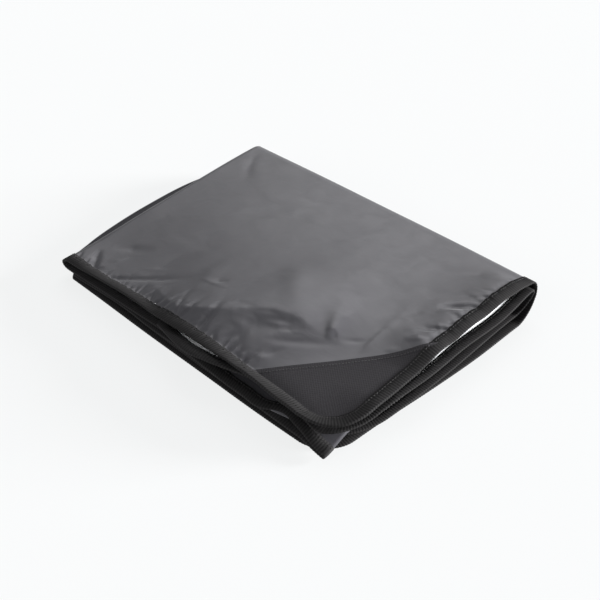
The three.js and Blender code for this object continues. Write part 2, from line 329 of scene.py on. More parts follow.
@dataclass(frozen=True)
class Flutter:
    """The stand-off of the top layer along one hem: a lift with a wave, rolled down at the hem.

    Attributes:
        wave, shift: Length of the wave along the hem, and its shift in waves.
        lift, height: Steady lift, and height of the wave.
        reach: Distance from the hem over which both fade out.
        roll, roll_run: Drop of the hem, and the distance over which it fades out.
    """

    wave: float
    shift: float
    lift: float
    height: float
    reach: float
    roll: float = 0.0
    roll_run: float = 15.0

    def rise(self, along: Array, inward: Array) -> Array:
        """Returns the lift at a place along the hem and a distance inward from it."""
        ripple = 0.5 * (1.0 + np.sin(2 * math.pi * (along / self.wave + self.shift)))
        swell = (self.lift + self.height * ripple) * np.exp(-((inward / self.reach) ** 2))
        return swell - self.roll * curl(inward, self.roll_run)


@dataclass(frozen=True)
class Rim:
    """The front hem of the top layer, turned up along its tape, and the sunk corner behind it.

    Attributes:
        height: Rise of the hem, evenly spaced from the left edge to the right edge.
        run: Distance from the hem over which the rise fades out.
        begin: Shares of the way along the hem where the rise sets in and is whole.
        fade_y: Places along the right-hand hem where the rise begins and ends to fade out.
        sunk_at: Middle of the sunk corner.
        sunk_reach: Radius of the sunk corner.
        sunk_depth: Depth of the sunk corner.
    """

    height: Row = (4.5, 4.5, 4.8, 4.8, 4.6, 3.8, 2.6, 2.4, 5.4, 7.6, 5.4, 6.4, 2.6)
    run: float = 12.0
    begin: Row = (0.02, 0.16)
    fade_y: Row = (-110.0, -62.0)
    sunk_at: Row = (168.0, -125.0)
    sunk_reach: float = 50.0
    sunk_depth: float = 5.0

    def rise(self, inward: Array, across_x: Array, x: Array, y: Array) -> Array:
        """Returns the rise of the top layer.

        Args:
            inward: Distance from the nearest hem.
            across_x: Share of the way from the left edge to the right edge.
            x: Place along X.
            y: Place along Y.

        Returns:
            The rise at each place.
        """
        fade = (1.0 - ease(y, self.fade_y)) * ease(across_x, self.begin)
        turned = along_row(self.height, across_x) * fade * curl(inward, self.run)
        return turned - self.sunk_depth * spot(x, y, self.sunk_at, self.sunk_reach)


@dataclass(frozen=True)
class CornerSize:
    """Size of a rounded corner of the sheet along X and Y, in the upper and the lower half."""

    up: tuple[float, float]
    down: tuple[float, float]


# Left edge of the lower half, from the front to the back: drawn in at the front, then a tip.
LOWER_LEFT = (-160, -184, -190, -193, -194.5, -195.5, -196.5, -197.5, -198, -197, -194, -190, -185)
# How far the lower front hem stands out, from the left to the right, with a kink near the right.
LOWER_FRONT = (
    -5, -5, -5, -5, -5, -4.5, -3.5, -2, 0, 1, 1.5, 2.5, 3.5, 5, 6.5, 7, 7.5, -1, 2, 6, 7
)
OUTER_HEM, SECOND_HEM = "outer hem", "second hem"
OUTER_TURN, RIGHT_TURN, SECOND_TURN = "outer turn", "right turn", "second turn"


@dataclass(frozen=True)
class Fold:
    """How the sheet is folded: twice along X, then turned under once along Y.

    A place on the sheet is a flat distance u along X, from the outer hem to the second hem, and a
    flat distance v along Y, from the upper front hem, over the back, to the lower front hem.

    Attributes:
        level: Distance of each layer from the middle of the bundle, as a share of its height.
        height_rows: Heights at the front, the middle and the back, each from left to right.
        corner: Rounded corners of the two layers that have hems on the right.
        front_hem: How far each layer's front hem stands out, from hem_from to the right.
        edge_x: Place of each hem and turn along X, from the front to the back.
        hem_lift, lift_run: Rise of the hems, and the distances inwards between which it fades.
        lift_share: Each layer's share of that rise in the upper and in the lower half.
        sink_at, sink_reach, sink_share: Where, how far round and how much the stack is pressed.
        droop_at, droop_reach, droop_depth: The same where lower layers hang down at the right.
        calm: Distances from the patch's corner at which the flutter sets in and is whole.
        flutter_end: Distance before the back over which the flutter ends.
    """

    left_x: float = -172.0
    right_x: float = 172.0
    front_y: float = -127.0
    back_y: float = 127.0
    cloth_t: float = 1.0
    tape_w: float = 11.0
    back_turn_flat: float = 44.0
    hem_from: float = -203.0
    level: dict[Layer, float] = by_layer(0.5, 0.35, 0.21, 0.08)
    height_rows: tuple[Row, ...] = (
        (19, 22, 27, 29, 28),
        (29, 33, 35, 36, 35),
        (37, 38, 38, 38, 37),
    )
    corner: dict[Layer, CornerSize] = by_layer(
        CornerSize(up=(42, 42), down=(32, 32)), CornerSize(up=(46, 46), down=(66, 66))
    )
    front_hem: dict[Layer, Halves] = by_layer(
        Halves((-3, -2, 0, 1.5, 4, 6), (-5, -3, 0, 2, 4, 4)),
        Halves((-3, -3, -3, 14.5, -6, 4), (-9, -9, -4, 0, 1, 0)),
        Halves((-6, -5, -2.5, -4, -16, -26), (-12, -12, -4, 1, 5, 7)),
        Halves((-6, -5, -2, -2, -14, -26), LOWER_FRONT),
    )
    edge_x: dict[str, Halves] = field(
        default_factory=lambda: {
            OUTER_HEM: Halves((178, 174, 170), (169, 170, 173, 174.5, 173)),
            SECOND_HEM: Halves((175, 178, 181, 178.5, 178.5, 173), (173, 174, 167)),
            RIGHT_TURN: Halves((166, 152, 148), (167, 150, 146)),
            OUTER_TURN: Halves((-169, -171, -174), LOWER_LEFT),
            SECOND_TURN: Halves((-32, -128, -152), (-48, -136, -160)),
        }
    )
    outer_turn_depth: Halves = Halves((6, 6, 7), (2.2, 4.4, 6, 6, 7))
    back_turn_y: float = 115.0
    back_turn_lean: float = 9.0
    back_turn_depth: float = 16.0
    hem_lift: float = 1.1
    lift_run: Row = (12.0, 42.0)
    lift_share: dict[Layer, Row] = by_layer((0.0, 1.0), (0.1, 0.8), (0.2, 0.6), (0.3, 0.45))
    sink_at: Row = (-172.0, -127.0)
    sink_reach: float = 120.0
    sink_share: float = 0.22
    second_creases: tuple[Crease, ...] = (
        Crease(((172, -44, 16, 0.0), (170, 0, 24, 1.8), (168, 100, 24, 1.8), (166, 130, 14, 0.0))),
        Crease(
            ((-30, -136, 10, -1.0), (6, -139, 13, -5.4), (36, -139, 14, -6.2), (66, -132, 12, -3.0))
        ),
        Crease(((112, -124, 12, 0.0), (158, -122, 17, 5.0), (176, -100, 15, 4.0), (178, -62, 10, 0.0))),
    )
    droop_at: Row = (170.0, -133.0)
    droop_reach: float = 31.0
    droop_depth: float = 4.8
    rim: Rim = Rim()
    front_flutter: Flutter = Flutter(94, 0.05, lift=0.0, height=2.2, reach=34)
    right_flutter: Flutter = Flutter(44, 0.4, lift=6.8, height=1.2, reach=40, roll=3.6)
    calm: Row = (92.0, 132.0)
    flutter_end: float = 26.0
    shoulder: Optional[Shoulder] = None
    creases: tuple[Crease, ...] = ()
    front_gathers: tuple[Gathers, ...] = ()
    right_gathers: tuple[Gathers, ...] = ()

    @property
    def panel_x(self) -> float:
        """Length of a panel along X."""
        return self.right_x - self.left_x

    @property
    def panel_y(self) -> float:
        """Length of a panel along Y."""
        return self.back_y - self.front_y

    @property
    def runs(self) -> tuple[Run, ...]:
        """The runs of the sheet along X, from the outer hem to the second hem."""
        return (
            Run(Layer.OUTER, OUTER_HEM, OUTER_TURN, None, 0, self.panel_x),
            Run(Layer.OUTER, OUTER_TURN, None, Layer.INNER, -1, 20),
            Run(Layer.INNER, OUTER_TURN, RIGHT_TURN, None, 0, self.panel_x),
            Run(Layer.INNER, RIGHT_TURN, None, Layer.THIRD, 1, 7),
            Run(Layer.THIRD, RIGHT_TURN, SECOND_TURN, None, 0, 280),
            Run(Layer.THIRD, SECOND_TURN, None, Layer.SECOND, -1, 7),
            Run(Layer.SECOND, SECOND_TURN, SECOND_HEM, None, 0, self.panel_x),
        )

    @property
    def width(self) -> float:
        """Flat width of the sheet, along u."""
        return sum(run.flat for run in self.runs)

    @property
    def length(self) -> float:
        """Flat length of the sheet, along v."""
        return 2 * self.panel_y + self.back_turn_flat

    def height(self, x: Array, y: Array) -> Array:
        """Returns the height of the bundle at each (x, y)."""
        across_x = (x - self.left_x) / self.panel_x
        rows = np.stack([along_row(row, across_x) for row in self.height_rows])
        return along_row(rows, (y - self.front_y) / self.panel_y)

    def round_corner(self, layer: Layer, down: Array, dx: Array, dy: Array) -> tuple[Array, Array]:
        """Moves points of a square hem corner onto a round one.

        Args:
            layer: Layer whose hem it is.
            down: True where the point is in the lower half.
            dx: Distance from the hem that runs along Y.
            dy: Distance from the hem that runs along X.

        Returns:
            The two distances after the move.
        """
        corner = self.corner[layer]
        size_x = np.where(down, corner.down[0], corner.up[0])
        size_y = np.where(down, corner.down[1], corner.up[1])
        p, q = 1 - dx / size_x, 1 - dy / size_y
        inside = (p > 0) & (q > 0)
        ring = np.where(inside, np.maximum(p, q), 1.0)
        ratio = np.where(p >= q, q, p) / ring
        turn = np.where(p >= q, math.pi / 4 * ratio, math.pi / 2 - math.pi / 4 * ratio)
        return (
            np.where(inside, size_x * (1 - ring * np.cos(turn)), dx),
            np.where(inside, size_y * (1 - ring * np.sin(turn)), dy),
        )

    def relief(self, hem_x: Array, hem_y: Array, x: Array, y: Array) -> Array:
        """Returns the rise of the top layer: flutter and shoulder, less creases and puckers.

        Args:
            hem_x: Distance from the right-hand hem.
            hem_y: Distance from the front hem.
            x: Place along X.
            y: Place along Y.

        Returns:
            The rise at each place.
        """
        calm = ease(np.hypot(hem_x, hem_y), self.calm)
        end = smooth((self.back_y - y) / self.flutter_end)
        rise = calm * end * (self.front_flutter.rise(x, hem_y) + self.right_flutter.rise(y, hem_x))
        if self.shoulder:
            rise = rise + self.shoulder.rise(x, y)
        for crease in self.creases:
            rise = rise - crease.depth(x, y)
        for gathers in self.front_gathers:
            rise = rise - gathers.depth_at(x, hem_y, self.tape_w)
        for gathers in self.right_gathers:
            rise = rise - gathers.depth_at(y, hem_x, self.tape_w)
        return rise

    def _of_layer(self, run: Run, share: Array, pick: Callable[[Layer], Array]) -> Array:
        """Returns a layer's value, blended over a turn from one layer to the next."""
        here = pick(run.layer)
        return here if run.onto is None else lerp(here, pick(run.onto), smooth(share))

    def place(self, run: Run, share: Array, across: Array, angle: Array) -> Array:
        """Finds points of the middle of the cloth.

        Args:
            run: Run along X that the points lie on.
            share: Share of the run passed.
            across: Share of the way from the front hem to the back turn.
            angle: Angle round the back turn, from 0 on the upper half to pi on the lower.

        Returns:
            Points as an array of rows of three.
        """
        turned = smooth(angle / math.pi)
        down = angle > math.pi / 2
        flat_share = share
        hem_x = np.full(share.shape, self.panel_x)
        from_hem, to_hem = run.start == OUTER_HEM, run.end == SECOND_HEM
        if from_hem or to_hem:
            hem_x = (share if from_hem else 1 - share) * self.panel_x
            inward = np.minimum(hem_x, across * self.panel_y)
            hem_x, hem_y = self.round_corner(run.layer, down, hem_x, across * self.panel_y)
            share = hem_x / self.panel_x if from_hem else 1 - hem_x / self.panel_x
            across = hem_y / self.panel_y
        level = np.full(share.shape, self.level[run.layer])
        if run.onto is None:
            start = self.edge_x[run.start].at(across, turned)
            x = lerp(start, self.edge_x[run.end].at(across, turned), share)
        else:
            other = self.level[run.onto]
            half_gap = (self.level[run.layer] - other) / 2
            turn_x = self.edge_x[run.start].at(across, turned)
            depth = abs(half_gap) * self.height(turn_x, lerp(self.front_y, self.back_y, across))
            if run.start == OUTER_TURN:
                depth = self.outer_turn_depth.at(across, turned)
            level = other + half_gap * (1 + np.cos(math.pi * share))
            x = turn_x + run.out * depth * np.sin(math.pi * share)
        hem_at = (x - self.hem_from) / (self.right_x - self.hem_from)
        stands_out = self._of_layer(
            run, flat_share, lambda layer: self.front_hem[layer].at(hem_at, down.astype(float))
        )
        nest = level / self.level[Layer.OUTER]
        turn_y = self.back_turn_y + nest * self.back_turn_lean * (1 - 2 * turned)
        y = lerp(self.front_y - stands_out, turn_y, across)
        y = y + nest * self.back_turn_depth * np.sin(angle)
        stack = 0.5 + level * np.cos(angle)
        sunk = spot(x, y, self.sink_at, self.sink_reach)
        stack = stack - self.sink_share * sunk * 4 * stack * (1 - stack)
        hem_y = across * self.panel_y
        near_hem = np.minimum(hem_x, hem_y)
        rise = 1 - ease(near_hem, self.lift_run)
        lift = self._of_layer(
            run,
            flat_share,
            lambda layer: np.where(down, self.lift_share[layer][1], self.lift_share[layer][0]),
        )
        z = self.cloth_t / 2 + stack * (self.height(x, y) - self.cloth_t)
        z = z + self.hem_lift * lift * rise
        if from_hem:
            across_x = (x - self.left_x) / self.panel_x
            raised = self.relief(hem_x, hem_y, x, y) + self.rim.rise(inward, across_x, x, y)
            z = z + np.where(down, 0.0, raised)
        if to_hem:
            for crease in self.second_creases:
                z = z - np.where(down, 0.0, crease.depth(x, y))
        if run.layer in (Layer.INNER, Layer.THIRD) and run.start != SECOND_TURN:
            droop = self.droop_depth * spot(x, y, self.droop_at, self.droop_reach)
            z = z - np.where(down, droop, 0.0)
        return np.stack([x, y, z], axis=-1)

    def surface(self, u: Array, v: Array) -> Array:
        """Returns the points of the middle of the cloth at flat places (u, v), of one shape."""
        u, v = np.broadcast_arrays(np.asarray(u, float), np.asarray(v, float))
        u, v = np.clip(u, 0, self.width), np.clip(v, 0, self.length)
        over = np.clip((v - self.panel_y) / self.back_turn_flat, 0, 1)
        across = np.minimum(1.0, np.minimum(v, self.length - v) / self.panel_y)
        points = np.zeros(u.shape + (3,))
        begin = 0.0
        for k, run in enumerate(self.runs):
            last = k == len(self.runs) - 1
            here = (u >= begin) & ((u < begin + run.flat) | last)
            if here.any():
                share = (u[here] - begin) / run.flat
                points[here] = self.place(run, share, across[here], math.pi * over[here])
            begin += run.flat
        return points

    def normal(self, u: Array, v: Array, step: float = 0.2) -> Array:
        """Returns the unit normals on the dark side of the cloth at flat places (u, v)."""
        u, v = np.broadcast_arrays(np.asarray(u, float), np.asarray(v, float))
        along_u = self.surface(u + step, v) - self.surface(u - step, v)
        along_v = self.surface(u, v + step) - self.surface(u, v - step)
        out = np.cross(along_v, along_u)
        return out / np.linalg.norm(out, axis=-1, keepdims=True)


@dataclass(frozen=True)
class Origin:
    """Moves points from the fold's axes, in millimetres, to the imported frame, in metres.

    Attributes:
        shift: Place of the fold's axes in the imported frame.
    """

    shift: Row = (11.8317, 0.2905, 0.0)

    def to_frame(self, points: Array) -> Array:
        """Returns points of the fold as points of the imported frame."""
        return (points + np.array(self.shift)) * MM


def make_object(
    name: str,
    points: Array,
    faces: list[Face],
    materials: list[Material],
    slots: Optional[Array] = None,
    uv: Optional[Array] = None,
) -> Piece:
    """Makes a smooth-shaded mesh object at the origin.

    Args:
        name: Name of the piece.
        points: Points in metres.
        faces: Corner indices of each face.
        materials: Materials of the piece.
        slots: Material index of each face.
        uv: Flat place of each point, in metres, for its UV map.

    Returns:
        The new object, linked to the scene.
    """
    mesh = bpy.data.meshes.new(name)
    mesh.from_pydata(points.tolist(), [], faces)
    for material in materials:
        mesh.materials.append(material)
    if slots is not None:
        mesh.polygons.foreach_set("material_index", slots.astype(np.int32))
    mesh.polygons.foreach_set("use_smooth", np.ones(len(mesh.polygons), dtype=bool))
    if uv is not None:
        corners = np.empty(len(mesh.loops), dtype=np.int32)
        mesh.loops.foreach_get("vertex_index", corners)
        layer = mesh.uv_layers.new(name="flat")
        layer.data.foreach_set("uv", uv[corners].astype(np.float32).ravel())
    mesh.update()
    piece = bpy.data.objects.new(name, mesh)
    bpy.context.scene.collection.objects.link(piece)
    return piece


def add_values(piece: Piece, name: str, values: Array) -> None:
    """Adds a named float to each point of a piece, or a vector where the values come in rows."""
    kind, key = ("FLOAT", "value") if values.ndim == 1 else ("FLOAT_VECTOR", "vector")
    data = piece.data.attributes.new(name, kind, "POINT").data
    data.foreach_set(key, np.asarray(values, dtype=np.float32).ravel())


def grid_faces(top: Array, flip: bool = False) -> list[Face]:
    """Returns the quads of a grid of point indices, turned over if flip is set."""
    a, b, c, d = top[:-1, :-1], top[:-1, 1:], top[1:, 1:], top[1:, :-1]
    order = (a, d, c, b) if flip else (a, b, c, d)
    return [tuple(int(k) for k in quad) for quad in np.stack(order, -1).reshape(-1, 4)]


class NodeTree:
    """A short way to write shader and geometry node trees."""

    def __init__(self, tree: bpy.types.NodeTree) -> None:
        """Wraps an empty tree."""
        self.tree = tree

    def link(self, value: object, node: bpy.types.Node, key: object) -> None:
        """Puts a socket or a value into the input of a node that has a name or number."""
        if isinstance(value, bpy.types.NodeSocket):
            self.tree.links.new(value, node.inputs[key])
        else:
            node.inputs[key].default_value = value

    def add(self, kind: str, *links: tuple, **settings: object) -> bpy.types.Node:
        """Adds a node.

        Args:
            kind: Blender's name of the node type.
            links: Pairs of an input's name or number and what goes in: a socket or a value.
            settings: Properties of the node.

        Returns:
            The new node.
        """
        node = self.tree.nodes.new(kind)
        for name, value in settings.items():
            setattr(node, name, value)
        for key, value in links:
            self.link(value, node, key)
        return node

    def math(self, operation: str, a: object, b: object = 0.0, c: object = 0.0) -> object:
        """Adds a math node and returns its result socket."""
        node = self.add("ShaderNodeMath", (0, a), (1, b), (2, c), operation=operation)
        return node.outputs[0]

    def ramp(self, value: object, low: float, high: float, to_low: float, to_high: float) -> object:
        """Adds a clamped map of a value from one range to another and returns its result socket."""
        node = self.add(
            "ShaderNodeMapRange", (0, value), (1, low), (2, high), (3, to_low), (4, to_high)
        )
        return node.outputs[0]

    def mix(self, share: object, dark: Row, light: Row) -> object:
        """Adds a mix of two colours by a share and returns its colour socket."""
        colours = (6, (*dark, 1.0)), (7, (*light, 1.0))
        return self.add("ShaderNodeMix", (0, share), *colours, data_type="RGBA").outputs[2]

    def noise(self, scale: float, *more: tuple) -> object:
        """Adds a noise over places of the piece and returns its result socket."""
        place = self.add("ShaderNodeTexCoord").outputs["Object"]
        links = ("Vector", place), ("Scale", scale), *more
        return self.add("ShaderNodeTexNoise", *links).outputs[0]

    def bump(self, relief: Row, height: object, *more: tuple) -> object:
        """Adds a bump of a strength and a depth by a height and returns its normal socket."""
        links = ("Strength", relief[0]), ("Distance", relief[1]), ("Height", height), *more
        return self.add("ShaderNodeBump", *links).outputs[0]

    def flat_place(self) -> list[object]:
        """Returns the two sockets of a place on the flat cloth."""
        flat = self.add("ShaderNodeUVMap", uv_map="flat").outputs[0]
        return list(self.add("ShaderNodeSeparateXYZ", ("Vector", flat)).outputs)[:2]

    def named(self, name: str, kind: str = "FLOAT") -> object:
        """Returns the socket of a value that the points of a mesh carry."""
        links = ("Name", name)
        return self.add("GeometryNodeInputNamedAttribute", links, data_type=kind).outputs[0]

    def close(self, geometry: object, material: Material, soft: bool = False) -> None:
        """Ends a geometry tree with plain faces of one material, shaded smooth if soft is set."""
        plain = self.add("GeometryNodeRealizeInstances", (0, geometry)).outputs[0]
        if soft:
            plain = self.add("GeometryNodeSetShadeSmooth", ("Geometry", plain)).outputs[0]
        dressed = self.add("GeometryNodeSetMaterial", ("Geometry", plain), ("Material", material))
        self.add("NodeGroupOutput", (0, dressed.outputs[0]))


def new_shader(name: str, finish: dict[str, object]) -> tuple[Material, NodeTree, bpy.types.Node]:
    """Makes a material with one principled shader.

    Args:
        name: Name of the material.
        finish: Names of the shader's inputs with their values.

    Returns:
        The material, its tree, and the shader.
    """
    material = bpy.data.materials.new(name)
    material.use_nodes = True
    material.node_tree.nodes.clear()
    tree = NodeTree(material.node_tree)
    shader = tree.add("ShaderNodeBsdfPrincipled", *finish.items())
    tree.add("ShaderNodeOutputMaterial", ("Surface", shader.outputs[0]))
    return material, tree, shader


@dataclass(frozen=True)
class CoatedCloth:
    """Thin coated cloth, satin on its dark outside, with a fine weave and small wrinkles.

    Attributes:
        cloud_range, wrinkle_range: Noise at the two ends of the colour and of the roughness.
        weave_bump, wrinkle_bump: Strength and depth.
        shine, turn_shine_loss: Specular level, and the share of it taken off along the lower half's
            side turns, which leaves them matt and darker.
        sheen: Weight and roughness.
    """

    dark: Row = (0.040, 0.039, 0.044)
    light: Row = (0.051, 0.050, 0.056)
    cloud_scale: float = 9.0
    cloud_range: Row = (0.35, 0.65)
    weave_pitch: float = 0.7 * MM
    weave_bump: Row = (0.12, 0.05 * MM)
    wrinkle_scale: float = 55.0
    wrinkle_range: Row = (0.3, 0.7)
    wrinkle_bump: Row = (0.25, 0.9 * MM)
    shine: float = 0.5
    turn_shine_loss: float = 0.96
    roughness: Row = (0.36, 0.46)
    sheen: Row = (0.08, 0.4)
    tint: Row = (0.975, 0.96, 1.0)

    def material(self) -> Material:
        """Returns the material of the outside, which reads where its shine is taken off."""
        finish = {
            "Sheen Weight": self.sheen[0],
            "Sheen Roughness": self.sheen[1],
            "Specular Tint": (*self.tint, 1.0),
        }
        material, tree, shader = new_shader("coated_cloth_outside", finish)
        edge = tree.add("ShaderNodeAttribute", attribute_name="fold_edge").outputs["Fac"]
        # Along the lower half's side turns the shine is taken off, which leaves them matt and darker.
        shine = tree.ramp(edge, 0.0, 1.0, self.shine, self.shine * (1 - self.turn_shine_loss))
        cloud = tree.ramp(tree.noise(self.cloud_scale, ("Detail", 3.0)), *self.cloud_range, 0, 1)
        uneven = ("Detail", 4.0), ("Roughness", 0.55), ("Distortion", 0.6)
        wrinkle = tree.noise(self.wrinkle_scale, *uneven)
        turns = math.tau * (1.0 / self.weave_pitch)
        threads = [tree.math("SINE", tree.math("MULTIPLY", t, turns)) for t in tree.flat_place()]
        fine = tree.bump(self.weave_bump, tree.math("MULTIPLY", *threads))
        tree.link(shine, shader, "Specular IOR Level")
        tree.link(tree.mix(cloud, self.dark, self.light), shader, "Base Color")
        tree.link(tree.ramp(wrinkle, *self.wrinkle_range, *self.roughness), shader, "Roughness")
        tree.link(tree.bump(self.wrinkle_bump, wrinkle, ("Normal", fine)), shader, "Normal")
        return material


@dataclass(frozen=True)
class SilverCoating:
    """The bright silver coating on the inside of the cloth, with a fine grain."""

    colour: Row = (0.92, 0.93, 0.94)
    metallic: float = 0.1
    grain_scale: float = 160.0
    grain_range: Row = (0.3, 0.7)
    grain_bump: Row = (0.2, 0.3 * MM)
    roughness: Row = (0.25, 0.40)

    def material(self) -> Material:
        """Returns the material of the inside."""
        finish = {"Base Color": (*self.colour, 1.0), "Metallic": self.metallic}
        material, tree, shader = new_shader("silver_coating_inside", finish)
        grain = tree.noise(self.grain_scale, ("Detail", 3.0))
        tree.link(tree.ramp(grain, *self.grain_range, *self.roughness), shader, "Roughness")
        tree.link(tree.bump(self.grain_bump, grain), shader, "Normal")
        return material


@dataclass(frozen=True)
class RibbedTape:
    """Matt binding tape with ribs across it and short fibres, with a painted highlight on the rib
    crests and painted shade in the grooves.
    """

    # Painted shade in the grooves and painted highlight on the crests of the ribs.
    shaded_groove: Row = (0.0145, 0.0141, 0.0145)
    lit_crest: Row = (0.030, 0.0292, 0.0296)
    roughness: float = 0.5
    shine: float = 0.01
    fibre_scale: float = 900.0
    fibre_tone: float = 0.5
    fibre_bump: Row = (0.3, 0.12 * MM)

    def material(self) -> Material:
        """Returns the material of the tape, which reads the piece's rib height."""
        finish = {"Roughness": self.roughness, "Specular IOR Level": self.shine}
        material, tree, shader = new_shader("ribbed_tape", finish)
        rib = tree.add("ShaderNodeAttribute", attribute_name="rib").outputs["Fac"]
        fibre = tree.noise(self.fibre_scale, ("Detail", 2.0))
        # The rib's crest share paints a highlight on the crests and shade in the grooves; the fibre
        # noise varies the tone at random.
        evened = tree.math("SUBTRACT", rib, self.fibre_tone / 2)
        fibres_and_rib_light = tree.math("MULTIPLY_ADD", fibre, self.fibre_tone, evened)
        tree.link(tree.mix(fibres_and_rib_light, self.shaded_groove, self.lit_crest), shader, "Base Color")
        tree.link(tree.bump(self.fibre_bump, fibre), shader, "Normal")
        return material


@dataclass(frozen=True)
class GridWeave:
    """Heavier cloth with a fine grid of thicker threads, and short fibres."""

    ground: Row = (0.010, 0.0092, 0.0108)
    thread: Row = (0.036, 0.0335, 0.038)
    pitch: float = 1.9 * MM
    thread_share: float = 0.22
    thread_tone: float = 0.55
    fibre_scale: float = 700.0
    fibre_tone: float = 0.6
    weave_bump: Row = (0.45, 0.15 * MM)
    roughness: float = 0.78
    shine: float = 0.25

    def material(self) -> Material:
        """Returns the material of the patch."""
        finish = {"Roughness": self.roughness, "Specular IOR Level": self.shine}
        material, tree, shader = new_shader("grid_weave", finish)
        lines = []
        for side in tree.flat_place():
            turns = tree.math("FRACT", tree.math("DIVIDE", side, self.pitch))
            off = tree.math("ABSOLUTE", tree.math("SUBTRACT", turns, 0.5))
            lines.append(tree.ramp(off, 0.5 - self.thread_share, 0.5, 0.0, 1.0))
        grid = tree.math("MULTIPLY", tree.math("MAXIMUM", *lines), self.thread_tone)
        fibre = tree.noise(self.fibre_scale, ("Detail", 2.0))
        tone = tree.math("MULTIPLY_ADD", fibre, self.fibre_tone, grid)
        tree.link(tree.mix(tone, self.ground, self.thread), shader, "Base Color")
        tree.link(tree.bump(self.weave_bump, tone), shader, "Normal")
        return material


@dataclass(frozen=True)
class Thread:
    """Sewing thread of one colour, with painted shade between its twists."""

    name: str
    colour: Row
    shade: float = 0.6
    twist_scale: float = 1500.0
    roughness: float = 0.6

    def material(self) -> Material:
        """Returns the material of the thread."""
        material, tree, shader = new_shader(self.name, {"Roughness": self.roughness})
        # The darker tone is painted shade between the twists.
        dark = tuple(self.shade * c for c in self.colour)
        twist = tree.noise(self.twist_scale)
        tree.link(tree.mix(twist, dark, self.colour), shader, "Base Color")
        return material


def new_geometry_tree(name: str, sizes: dict[str, float]) -> tuple[NodeTree, bpy.types.Node]:
    """Makes a geometry tree with a geometry input and named sizes.

    Args:
        name: Name of the tree.
        sizes: Names of its inputs with their values.

    Returns:
        The tree and its input node.
    """
    group = bpy.data.node_groups.new(name, "GeometryNodeTree")
    group.interface.new_socket("Geometry", in_out="INPUT", socket_type="NodeSocketGeometry")
    for label, value in sizes.items():
        socket = group.interface.new_socket(label, in_out="INPUT", socket_type="NodeSocketFloat")
        socket.default_value = value
    group.interface.new_socket("Geometry", in_out="OUTPUT", socket_type="NodeSocketGeometry")
    tree = NodeTree(group)
    return tree, tree.add("NodeGroupInput")


def run_geometry_tree(piece: Piece, tree: NodeTree, sizes: dict[str, float]) -> None:
    """Runs a geometry tree on a piece and keeps the result as its plain mesh.

    Args:
        piece: Object whose mesh goes in and is replaced.
        tree: The tree to run.
        sizes: Values of its named inputs.
    """
    modifier = piece.modifiers.new("tree", "NODES")
    modifier.node_group = tree.tree
    for item in tree.tree.interface.items_tree:
        if item.item_type == "SOCKET" and item.in_out == "INPUT" and item.name in sizes:
            modifier[item.identifier] = sizes[item.name]
    evaluated = piece.evaluated_get(bpy.context.evaluated_depsgraph_get())
    mesh = bpy.data.meshes.new_from_object(evaluated)
    piece.modifiers.remove(modifier)
    old = piece.data
    piece.data = mesh
    mesh.name = piece.name
    bpy.data.meshes.remove(old)


